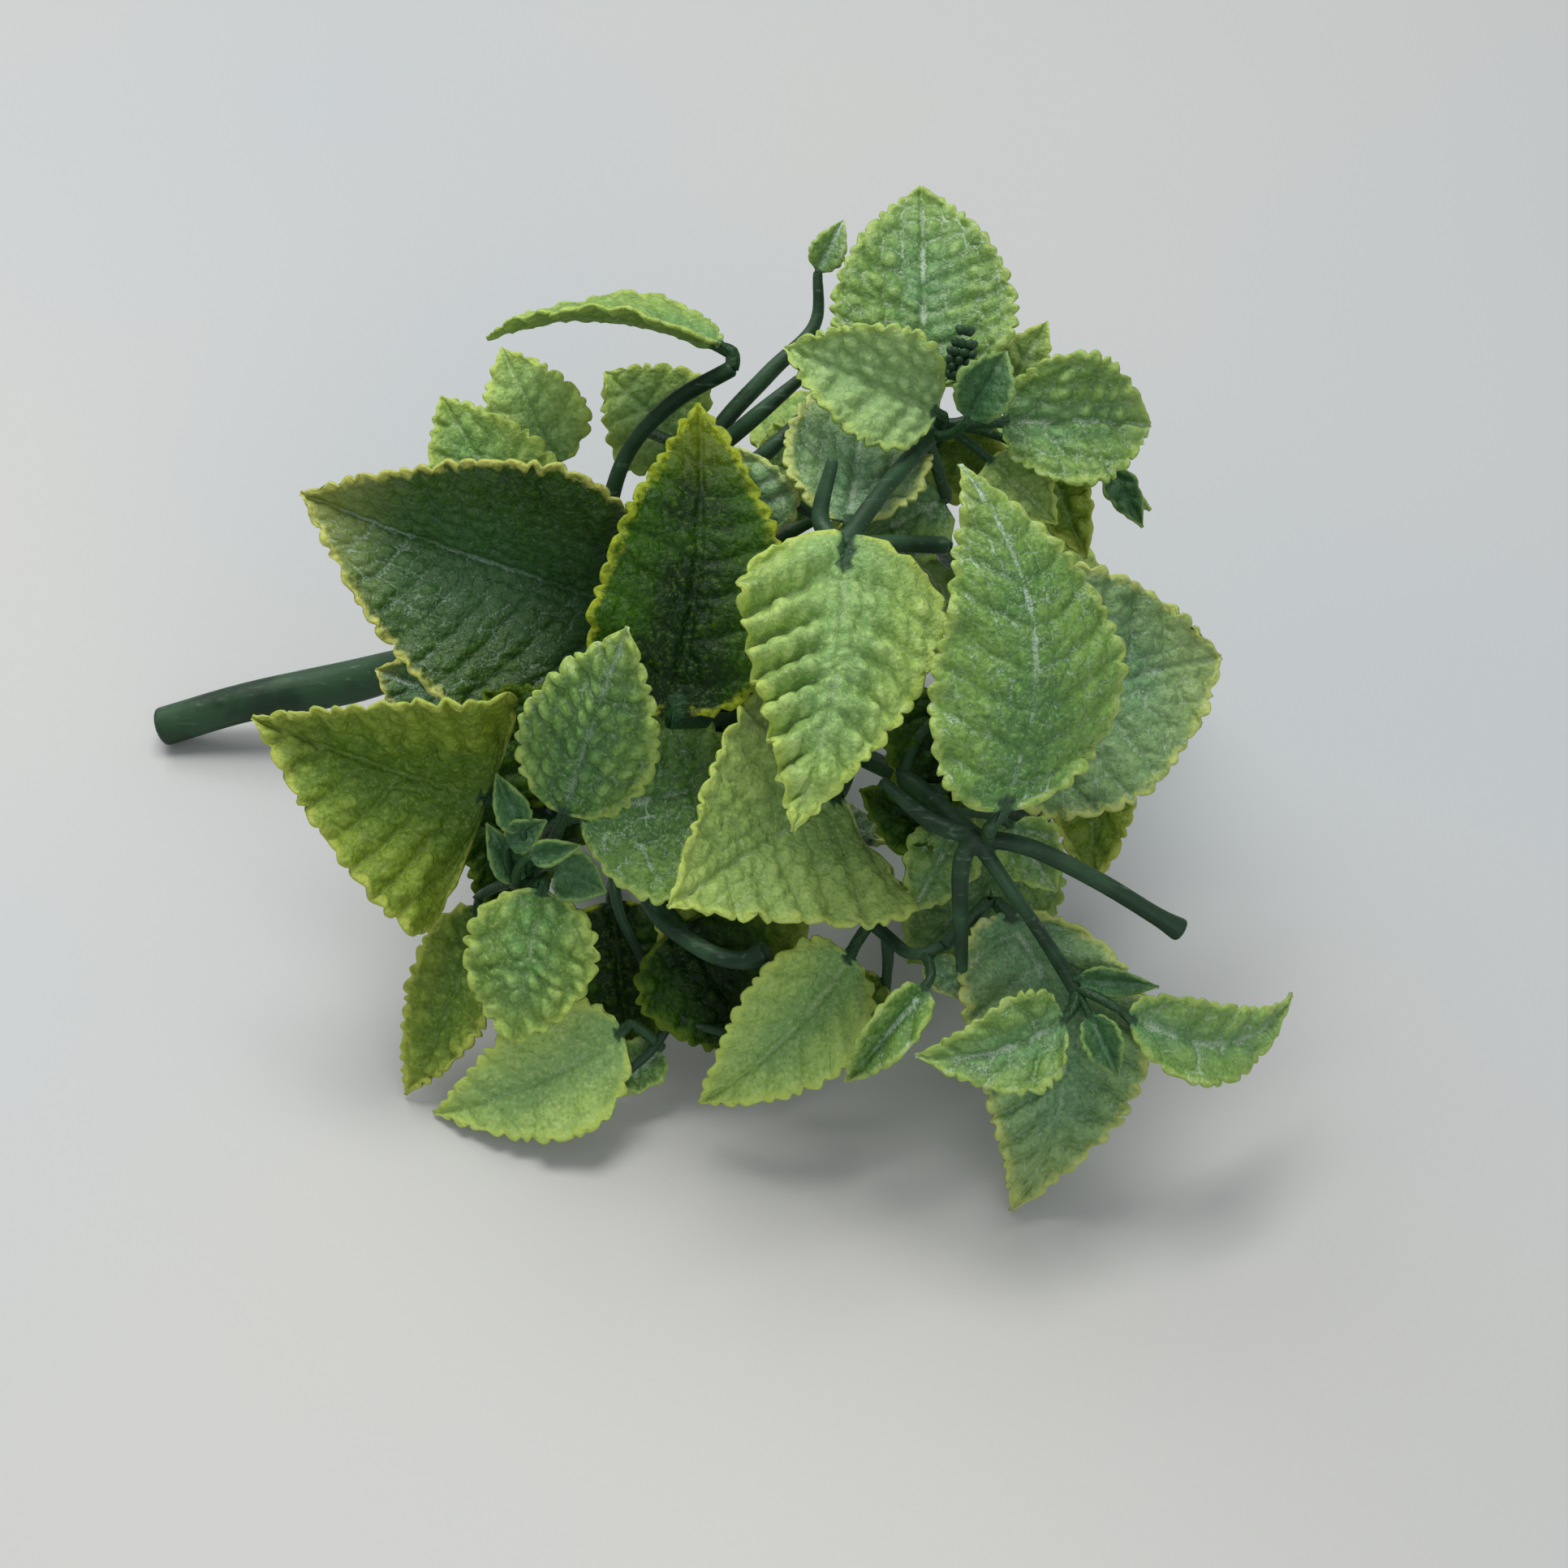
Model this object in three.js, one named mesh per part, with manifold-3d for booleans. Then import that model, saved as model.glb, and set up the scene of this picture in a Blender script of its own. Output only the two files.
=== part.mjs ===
// An artificial mint sprig, lying on its side: a thick moulded stem, branches that fan out of it,
// and quilted leaves, each a piece of its own pushed on a branch.
// Millimetres and degrees, +Z up. +X runs from the stem's cut end to the leafy head, -Y is the front.
import * as THREE from "three";
import { mergeVertices } from "three/addons/utils/BufferGeometryUtils.js";
import Module from "manifold-3d";

const wasm = await Module();
wasm.setup();

// Driving dimensions.
const STEM_RADIUS = 2.9; // the handle, at its cut end
const BRANCH_RADIUS = 1.6; // a branch where it leaves the stem
const TWIG_RADIUS = 1.15; // a twig or peg that carries leaves
const PEG_TIP_RADIUS = 1.5; // the bulb that ends a bare peg
const LEAF_THICKNESS = 0.8;
const LEAF_STALK_HALF_WIDTH = 0.8; // half the width of a leaf where it meets its twig
const LEAF_TIP_HALF_WIDTH = 0.7;

// How finely the shapes are cut.
const TUBE_SIDES = 8;
const TUBE_STEP = 4; // length of one ring to the next along a tube
const CAP_DOME = 0.4; // how far a tube's end bulges, as a share of its radius
const LEAF_ROWS = 8; // from stalk to tip
const LEAF_COLUMNS = 4; // from edge to edge, an even number so that one line of points is the midrib

// The stem and the branches. Each branch is one moulding of one or more tubes, and each tube is a list of
// [x, y, z, radius] that its centre line passes through.
const BRANCHES = {
  main_stem: [
    [
      [-83, 44, 3.1, STEM_RADIUS],
      [-70.5, 45, 7, STEM_RADIUS],
      [-55.5, 46, 10, 3.2],
      [-43, 43, 17, 2.6],
      [-28, 34, 28, 2.4],
      [-14, 24, 37, 2.2],
    ],
  ],
  front_branch: [
    [
      [-10, 20, 37.5, BRANCH_RADIUS],
      [5, 8, 40, BRANCH_RADIUS],
      [22, -6, 43, 1.3],
      [31, -22, 48, 1.3],
    ],
    [
      [31, -22, 48, 1.1],
      [38, -23, 47, TWIG_RADIUS],
      [46, -26, 44.5, TWIG_RADIUS],
      [53, -29, 41.5, TWIG_RADIUS],
      [56, -30, 40, PEG_TIP_RADIUS],
    ],
    [
      [31, -22, 48, 1.1],
      [29.5, -24.5, 44.5, TWIG_RADIUS],
      [30, -29, 31.5, 0.8],
    ],
    [
      [31, -22, 48, 1.1],
      [36, -26, 42, 0.9],
      [40, -28, 36, 0.9],
      [44, -30.5, 30, 1.1],
    ],
    [
      [31, -22, 48, 1.1],
      [26, -19, 47.5, TWIG_RADIUS],
      [20, -15.5, 51, 0.7],
    ],
  ],
  upper_branch: [
    [
      [-11, 22, 41, BRANCH_RADIUS],
      [2, 15, 57, 1.4],
      [15, 6, 70, 1.3],
    ],
    [
      [15, 6, 70, 1.2],
      [21, 17, 71, TWIG_RADIUS],
      [28, 29, 71, 1.2],
    ],
    [
      [15, 6, 70, 1.2],
      [21, 8, 69, TWIG_RADIUS],
      [28, 10, 67, TWIG_RADIUS],
    ],
    [
      [15, 6, 70, 1.2],
      [12.5, 10.5, 71, TWIG_RADIUS],
      [14, 15.5, 76, 0.8],
    ],
  ],
  top_branch: [
    [
      [-12, 28, 41.5, BRANCH_RADIUS],
      [-6, 34, 53, 1.4],
      [-1, 40, 61, 1.2],
      [6, 45, 67, TWIG_RADIUS],
      [12, 50, 71, 0.9],
      [12.5, 55, 76, 0.7],
    ],
    [
      [-3, 37.5, 58, TWIG_RADIUS],
      [4, 38, 65, TWIG_RADIUS],
      [10, 41, 69, 0.8],
    ],
    [
      [-5, 35, 55, TWIG_RADIUS],
      [4, 30, 64, TWIG_RADIUS],
      [11, 34, 69, 0.8],
    ],
  ],
  arching_twig: [
    [
      [-18, 30.5, 39, 1.3],
      [-16, 38, 48, 1.2],
      [-13, 42, 56, 1.1],
      [-7, 45, 62, TWIG_RADIUS],
      [1, 46, 67, TWIG_RADIUS],
    ],
  ],
  low_branch: [
    [
      [-10.5, 19, 33, BRANCH_RADIUS],
      [3, 2, 28, 1.2],
      [20, -19, 28, 0.9],
      [24, -25, 30, 0.8],
      [28, -24.5, 31, 0.7],
    ],
  ],
  left_branch: [
    [
      [-19, 20, 33, BRANCH_RADIUS],
      [-21, 8, 31, 1.3],
      [-23, -6, 29, 1.2],
      [-26, -13, 29, TWIG_RADIUS],
    ],
  ],
  under_branch: [
    [
      [-15, 20, 31, BRANCH_RADIUS],
      [-14.5, 3, 24, 1.1],
      [-14, -7, 20.5, 0.8],
      [-11.5, -12, 17, 0.7],
      [-6, -21, 14, 0.7],
      [1, -23, 12, 0.6],
    ],
    [
      [-6, -21, 14, 0.7],
      [-9, -24, 10.5, 0.7],
      [-12, -26, 8.5, 0.6],
    ],
  ],
  lower_peg: [
    [
      [-12, 14, 31, 1.3],
      [-10, -2, 27, 1.3],
      [-9, -14, 27, 1.2],
      [-2.5, -20.5, 26, 1.2],
      [2.5, -23, 26.5, 1.2],
      [5.5, -23, 28, PEG_TIP_RADIUS],
    ],
  ],
  flower_bud: [
    [
      [30, 30.5, 77.5, 0.8],
      [30.5, 32, 79.5, 1.8],
      [31, 34, 82, 0.9],
    ],
  ],
  back_branch: [
    [
      [-11, 27, 36.5, BRANCH_RADIUS],
      [4, 39, 41, 1.3],
      [18, 46, 45, 1.1],
      [32, 48, 49, TWIG_RADIUS],
    ],
  ],
};

// The leaves. base is the foot of the stalk, tip is the far end, and face is where the upper side looks.
// fold lifts the two halves about the midrib (negative lets them droop), arch is how far the midrib bows
// towards the face and sway how far it bows sideways, as shares of the length. widest is where the blade is
// widest, and point is 1 for straight sides to the tip and 2 for round ones. lobe is how far the foot of the
// blade reaches back beside the stalk, as a share of the length, and cup how far the edges curl down, as a
// share of the half width.
const FRONT = [0, -1, 1];
const LEVEL = [0, -1, 0.5];
const PLAIN_LEAF = {
  face: FRONT,
  fold: 10,
  arch: 0.05,
  sway: 0,
  widest: 0.3,
  point: 1.6,
  lobe: 0.04,
  cup: 0,
};

function leaf(name, base, tip, width, shape) {
  return { ...PLAIN_LEAF, name, base, tip, width, ...shape };
}

const LEAVES = [
  leaf("left_leaf_1", [-11, 23.5, 44.5], [-55.5, 30.5, 58.5], 43, {
    face: LEVEL,
    fold: 34,
    widest: 0.3,
    point: 1.5,
  }),
  leaf("left_leaf_2", [-29, -2, 34], [-60, 2, 45], 40, {
    face: LEVEL,
    fold: 36,
    widest: 0.12,
    point: 1.25,
  }),
  leaf("left_leaf_3", [-20, -10, 39], [-11, -4, 66], 18, { fold: -10, arch: 0.1, widest: 0.4, cup: 0.1 }),
  leaf("left_leaf_4", [-22.5, -14, 31], [-26.5, -27, 15], 17, {
    fold: -10,
    arch: 0.1,
    widest: 0.4,
    point: 2,
  }),
  leaf("left_leaf_5", [-32, -8, 22], [-42, -24, 1], 13, {
    face: [-1, -2, 2],
    fold: 15,
    sway: 0.08,
    widest: 0.4,
  }),
  leaf("left_leaf_6", [-12, -22, 13], [-38, -27, 1], 18, { fold: 16, arch: 0.1, sway: 0.06, point: 1.4 }),
  leaf("left_leaf_7", [-23, 47, 49], [-31, 60, 60], 15, {}),
  leaf("left_leaf_8", [-27, 38, 44], [-39, 53, 57], 18, {}),
  leaf("left_leaf_9", [-38, 33, 18], [-50, 38, 20], 11, {}),
  leaf("crown_leaf_1", [-6, -5, 51], [-3, 31, 73], 25, {
    arch: 0.1,
    sway: -0.04,
    widest: 0.24,
    lobe: 0.08,
  }),
  leaf("crown_leaf_2", [26, 32, 73], [26, 59, 87], 24, { fold: 12, point: 1.9 }),
  leaf("crown_leaf_3", [28, 27, 74], [8, 32, 81], 17, { fold: 28, arch: 0.1, point: 1.9 }),
  leaf("crown_leaf_4", [35, 27, 73], [55, 29, 71], 18, { fold: 24, arch: 0.1, widest: 0.45, point: 2.2 }),
  leaf("crown_leaf_5", [1, 47.5, 68.5], [-32, 53, 67], 22, { face: [0, 0.6, 1], arch: 0.12, widest: 0.4 }),
  leaf("crown_leaf_6", [16, 13, 67], [19, 41, 70], 19, { arch: 0.02, widest: 0.4, point: 2 }),
  leaf("crown_leaf_7", [-5, 54, 47], [-17, 61, 55], 17, {}),
  leaf("crown_leaf_8", [6, 17, 62], [2, 26, 70], 11, {}),
  leaf("crown_leaf_9", [28, 37, 62], [38, 30, 57], 12, {}),
  leaf("crown_leaf_10", [29, 24, 63], [16.5, 19, 59], 13, {}),
  leaf("centre_leaf_1", [15, 3.5, 71], [9, -29, 56], 27, {
    fold: -18,
    arch: 0.1,
    sway: 0.05,
    widest: 0.2,
    point: 1.3,
    lobe: 0.18,
  }),
  leaf("centre_leaf_2", [33, -23.5, 51.5], [29, 5, 84], 25, {
    face: [0.3, -1, 1],
    fold: -16,
    arch: 0.1,
    sway: -0.14,
    widest: 0.34,
    point: 1.5,
  }),
  leaf("centre_leaf_3", [15, -5, 38], [-6, -29, 43], 36, {
    fold: 15,
    widest: 0.16,
    point: 1.35,
    lobe: 0.08,
  }),
  leaf("centre_leaf_4", [-19, -8, 37], [6, -3, 40], 27, { fold: 12, arch: 0.1, widest: 0.4 }),
  leaf("right_leaf_1", [27, -2, 48], [64, 8, 50], 32, { arch: 0.1, widest: 0.4, point: 2 }),
  leaf("right_leaf_2", [34, -20, 35], [37, -43, 1], 23, {
    arch: 0.08,
    sway: 0.18,
    widest: 0.35,
    point: 1.7,
  }),
  leaf("right_leaf_3", [49, -34, 30], [73, -23, 20], 11, { fold: 15, arch: 0.1, sway: -0.18, point: 1.5 }),
  leaf("right_leaf_4", [43, -34, 29], [24, -39, 27], 13, { fold: 24, arch: 0.1, sway: 0.1, point: 1.4 }),
  leaf("right_leaf_5", [47, 0, 42], [47.5, -13, 29.5], 12, { fold: 20 }),
  leaf("right_leaf_6", [34, 26, 68], [43, 20, 62], 10, { fold: 20 }),
  leaf("right_leaf_7", [42, 27, 65], [47, 19, 57], 8, { fold: 20 }),
  leaf("right_leaf_8", [33, 22, 52], [54, 24, 38], 22, { face: [3, -1, 3], arch: 0.1 }),
  leaf("right_leaf_9", [34, 6, 40], [52, 14, 20], 22, { face: [4, -1, 2], arch: 0.1 }),
  leaf("low_leaf_1", [17, -20, 26], [-3, -31.5, 8.5], 18, { fold: 28, arch: 0.1, sway: 0.06 }),
  leaf("low_leaf_2", [26, -29.5, 30], [15.5, -35.5, 17.5], 8, { fold: 40, arch: 0.2 }),
  leaf("low_leaf_3", [-5, -17.5, 14], [9, -5, 24], 21, { widest: 0.4, point: 2 }),
  leaf("low_leaf_4", [-15, -3, 17], [-12, -22, 3], 19, { widest: 0.4 }),
  leaf("low_leaf_5", [42, -2, 30], [24, -15, 17], 19, { widest: 0.4, point: 2 }),
  leaf("low_leaf_6", [32, -1, 36], [19, -6, 32], 13, {}),
  leaf("back_leaf_1", [4, 42, 42], [-3, 67, 26], 21, { face: [-2, 5, 6], arch: 0.1 }),
  leaf("back_leaf_2", [12, 48, 46], [14, 71, 44], 19, { face: [0, 2, 6], arch: 0.1 }),
  leaf("back_leaf_3", [21, 51, 42], [36, 68, 26], 22, { face: [2, 4, 5], arch: 0.1 }),
  leaf("back_leaf_4", [34, 51, 50], [59, 47, 42], 20, { face: [3, 3, 5], arch: 0.1 }),
  leaf("back_leaf_5", [24, 43, 40], [44, 40, 1], 22, { face: [3, 5, 3], arch: 0.1 }),
  leaf("back_leaf_6", [-6, 36, 38], [-32, 60, 20], 20, { face: [-3, 4, 5], arch: 0.1 }),
  leaf("back_leaf_7", [-22, 44, 30], [-40, 60, 8], 19, { face: [-3, 5, 4], arch: 0.1 }),
  leaf("under_leaf_1", [-10, 8, 22], [-22, 24, 3], 18, { face: [-3, -3, -3], arch: 0.1 }),
  leaf("under_leaf_2", [18, -2, 26], [30, 14, 3], 20, { face: [2, 3, -2], arch: 0.1 }),
  leaf("crown_bud_leaf", [31, 24, 75.5], [36, 30, 82], 9, { fold: 35, arch: 0.1, widest: 0.4 }),
  leaf("right_bud_leaf", [45.5, -34, 29], [49, -40, 24], 6, { fold: 35, arch: 0.1, widest: 0.4 }),
];

// The small bracts that are moulded in one with the ends of the branches.
const BRACTS = {
  front_branch: [leaf("upper_bract", [44, -30.5, 31.5], [54.4, -30.5, 30], 4, { fold: 20 })],
  left_branch: [leaf("left_bract", [-25.5, -12.5, 29.5], [-30, -8, 36], 5, { fold: 20 })],
  top_branch: [leaf("crown_bract", [12.5, 55, 76], [16, 60, 81], 5, { fold: 20, arch: 0.1 })],
};

// A leaf's half width from its stalk (0) to its tip (1), as a share of its greatest half width: a quarter of
// a superellipse from the stalk to the widest place, and a power curve from there to the tip.
const STALK_SHARE = 0.07;
const FOOT_POWER = 2.3;
function outline({ widest, point }, along) {
  const blade = Math.max(0, (along - STALK_SHARE) / (1 - STALK_SHARE));
  if (blade < widest) return Math.sqrt(1 - (1 - blade / widest) ** FOOT_POWER);
  return 1 - ((blade - widest) / (1 - widest)) ** point;
}

const vector = (list) => new THREE.Vector3(...list);

// The point on a leaf's upper side, along 0 to 1 from stalk to tip and across -1 to 1 from edge to edge,
// and the direction that its upper side looks.
const FOLD_START = 0.2; // the blade is folded fully from here on
function leafPoint(leaf, along, across) {
  const chord = vector(leaf.tip).sub(vector(leaf.base));
  const length = chord.length();
  const ahead = chord.normalize();
  const side = vector(leaf.face).cross(ahead).normalize();
  const up = ahead.clone().cross(side);
  const hump = 4 * along * (1 - along);
  const narrowest = THREE.MathUtils.lerp(LEAF_STALK_HALF_WIDTH, LEAF_TIP_HALF_WIDTH, along);
  const reach = Math.max(narrowest, 0.5 * leaf.width * outline(leaf, along)) * Math.abs(across);
  const fold = THREE.MathUtils.degToRad(leaf.fold) * Math.min(1, along / FOLD_START);
  const back = leaf.lobe * Math.abs(across) * (1 - along) ** 3 * Math.min(1, along / STALK_SHARE);
  const curl = leaf.cup * reach * across ** 2;
  const point = vector(leaf.base)
    .addScaledVector(ahead, length * (along - back))
    .addScaledVector(up, length * leaf.arch * hump + reach * Math.sin(fold) - curl)
    .addScaledVector(side, length * leaf.sway * hump + Math.sign(across) * reach * Math.cos(fold));
  return { point, up };
}

// A closed plate: the upper and the lower side of the leaf and the rim between them.
function leafGeometry(leaf) {
  const rows = LEAF_ROWS + 1;
  const columns = LEAF_COLUMNS + 1;
  const positions = [];
  for (const lift of [0, -LEAF_THICKNESS])
    for (let i = 0; i < rows; i++)
      for (let j = 0; j < columns; j++) {
        const { point, up } = leafPoint(leaf, i / LEAF_ROWS, (2 * j) / LEAF_COLUMNS - 1);
        positions.push(...point.addScaledVector(up, lift).toArray());
      }
  const below = rows * columns;
  const at = (i, j) => i * columns + j;
  const faces = [];
  const quad = (a, b, c, d) => faces.push(a, b, c, a, c, d);
  for (let i = 0; i < LEAF_ROWS; i++)
    for (let j = 0; j < LEAF_COLUMNS; j++) {
      const corners = [at(i, j), at(i + 1, j), at(i + 1, j + 1), at(i, j + 1)];
      quad(...corners);
      quad(...corners.reverse().map((k) => k + below));
    }
  const rim = [];
  for (let j = 0; j < LEAF_COLUMNS; j++) rim.push(at(0, j));
  for (let i = 0; i < LEAF_ROWS; i++) rim.push(at(i, LEAF_COLUMNS));
  for (let j = LEAF_COLUMNS; j > 0; j--) rim.push(at(LEAF_ROWS, j));
  for (let i = LEAF_ROWS; i > 0; i--) rim.push(at(i, 0));
  rim.forEach((a, k) => {
    const b = rim[(k + 1) % rim.length];
    quad(a, b, b + below, a + below);
  });
  return closedGeometry(positions, faces);
}

// A tube that follows [x, y, z, radius] points, with a slightly domed cap at each end.
function tubeGeometry(points) {
  const curve = new THREE.CatmullRomCurve3(points.map(([x, y, z]) => new THREE.Vector3(x, y, z)));
  const steps = Math.max(2, Math.round(curve.getLength() / TUBE_STEP));
  const positions = [];
  const faces = [];
  let normal = new THREE.Vector3(0, 0, 1);
  for (let i = 0; i <= steps; i++) {
    const t = i / steps;
    const tangent = curve.getTangent(t);
    normal = normal.clone().addScaledVector(tangent, -normal.dot(tangent)).normalize();
    const binormal = tangent.clone().cross(normal);
    const k = Math.min(points.length - 2, Math.floor(t * (points.length - 1)));
    const radius = THREE.MathUtils.lerp(points[k][3], points[k + 1][3], t * (points.length - 1) - k);
    for (let j = 0; j < TUBE_SIDES; j++) {
      const angle = (2 * Math.PI * j) / TUBE_SIDES;
      const point = curve
        .getPoint(t)
        .addScaledVector(normal, radius * Math.cos(angle))
        .addScaledVector(binormal, radius * Math.sin(angle));
      positions.push(...point.toArray());
    }
  }
  const ring = (i, j) => i * TUBE_SIDES + (j % TUBE_SIDES);
  const first = (steps + 1) * TUBE_SIDES;
  for (let j = 0; j < TUBE_SIDES; j++) {
    for (let i = 0; i < steps; i++) {
      faces.push(ring(i, j), ring(i, j + 1), ring(i + 1, j + 1));
      faces.push(ring(i, j), ring(i + 1, j + 1), ring(i + 1, j));
    }
    faces.push(first, ring(0, j + 1), ring(0, j));
    faces.push(first + 1, ring(steps, j), ring(steps, j + 1));
  }
  const start = curve.getPoint(0).addScaledVector(curve.getTangent(0), -CAP_DOME * points[0][3]);
  const end = curve.getPoint(1).addScaledVector(curve.getTangent(1), CAP_DOME * points.at(-1)[3]);
  positions.push(...start.toArray(), ...end.toArray());
  return closedGeometry(positions, faces);
}

function closedGeometry(positions, faces) {
  const geometry = new THREE.BufferGeometry();
  geometry.setAttribute("position", new THREE.Float32BufferAttribute(positions, 3));
  geometry.setIndex(faces);
  return geometry;
}

function toSolid(geometry) {
  const merged = mergeVertices(geometry, 1e-4);
  return new wasm.Manifold(
    new wasm.Mesh({
      numProp: 3,
      vertProperties: merged.attributes.position.array,
      triVerts: new Uint32Array(merged.index.array),
    }),
  );
}

// Joins a branch's tubes and bracts where they meet, so that the whole moulding is one solid.
function branchGeometry(tubes, bracts) {
  const shapes = [...tubes.map(tubeGeometry), ...bracts.map(leafGeometry)];
  const solid = shapes.map(toSolid).reduce((all, shape) => all.add(shape));
  const { vertProperties, triVerts } = solid.getMesh();
  return closedGeometry([...vertProperties], [...triVerts]);
}

const sprig = new THREE.Group();

function place(name, geometry, finish) {
  geometry.computeVertexNormals();
  const mesh = new THREE.Mesh(geometry, new THREE.MeshStandardMaterial({ ...finish, metalness: 0 }));
  mesh.name = name;
  sprig.add(mesh);
}

const stemFinish = { color: 0x34503f, roughness: 0.5 };
const leafFinish = { color: 0x5a8a45, roughness: 0.45 };
for (const [name, tubes] of Object.entries(BRANCHES))
  place(name, branchGeometry(tubes, BRACTS[name] ?? []), stemFinish);
for (const row of LEAVES) place(row.name, leafGeometry(row), leafFinish);

// The origin is under the middle of the sprig, on the surface that it lies on.
const box = new THREE.Box3().setFromObject(sprig);
const middle = box.getCenter(new THREE.Vector3());
sprig.position.set(-middle.x, -middle.y, -box.min.z);

export default sprig;
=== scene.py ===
import math

import bpy
import numpy as np
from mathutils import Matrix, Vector


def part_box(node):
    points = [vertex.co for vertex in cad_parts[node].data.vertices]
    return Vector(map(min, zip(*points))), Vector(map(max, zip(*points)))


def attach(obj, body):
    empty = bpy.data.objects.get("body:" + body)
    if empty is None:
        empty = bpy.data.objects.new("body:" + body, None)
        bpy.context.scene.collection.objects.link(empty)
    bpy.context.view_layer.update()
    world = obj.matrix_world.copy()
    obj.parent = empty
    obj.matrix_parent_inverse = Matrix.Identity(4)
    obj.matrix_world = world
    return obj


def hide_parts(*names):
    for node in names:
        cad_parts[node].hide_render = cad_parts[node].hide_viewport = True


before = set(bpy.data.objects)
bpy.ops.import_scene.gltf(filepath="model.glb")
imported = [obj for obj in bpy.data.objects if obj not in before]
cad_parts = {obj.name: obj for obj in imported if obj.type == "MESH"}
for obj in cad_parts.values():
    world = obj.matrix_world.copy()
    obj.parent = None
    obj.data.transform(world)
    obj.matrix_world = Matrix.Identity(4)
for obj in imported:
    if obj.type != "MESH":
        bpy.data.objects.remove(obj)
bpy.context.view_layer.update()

# The tables below are in the sprig's own millimetres and degrees: +X from the cut end to the leafy head,
# -Y to the front, +Z up. origin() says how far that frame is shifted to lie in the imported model's frame.
MM = 0.001

BRANCH_RADIUS = 1.6
TWIG_RADIUS = 1.15
STEM_RADIUS = 2.9
PEG_TIP_RADIUS = 1.5
STALK_RADIUS = 0.85
BLADE_THICKNESS = 0.5
RIM_THICKNESS = 0.3
TOOTH_DEPTH = 1.05
ROW_STEP = 0.32  # from one row of points on a blade to the next
COLUMN_STEP = 0.36
TUBE_SIDES = 20
CAP_DOME = 0.4  # how far a tube's end bulges, as a share of its radius
VOXEL = 0.26  # mesh size of the stem and the branches
FLOOR_CLEARANCE = 0.05
VEIN_SPACING = 4.8
CREASE_WIDTH = 0.36  # half width of the groove along a side vein
CREASE_DEPTH = 0.16
NET_DEPTH = 0.1  # depth of the fine grooves between the quilted cells
WRINKLE_HEIGHT = 0.09
MIDRIB_DEPTH = 0.35
RIM_BAND = 3.0  # width of the coloured rim on a leaf 18 mm wide or more

# ---------------------------------------------------------------------------------------------------------
# Leaves. Each row is the foot of the stalk, the tip, the width and the shape. face is where the upper side
# looks. fold lifts the halves about the midrib, arch bows the midrib towards the face and sway bows it
# sideways, both as a share of the length. widest is where the blade is widest, point is 1 for straight sides
# to the tip and 2 for round ones, lobe is how far the foot reaches back and cup how far the edges curl down.

FRONT = (0, -1, 1)
LEVEL = (0, -1, 0.5)


def leaf(
    name, base, tip, width,
    face=FRONT, fold=10, arch=0.05, sway=0.0, widest=0.3, point=1.6, lobe=0.04, cup=0.0,
):
    return dict(
        name=name,
        base=np.array(base, float),
        tip=np.array(tip, float),
        width=width,
        face=np.array(face, float),
        fold=math.radians(fold),
        arch=arch,
        sway=sway,
        widest=widest,
        point=point,
        lobe=lobe,
        cup=cup,
    )


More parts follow.
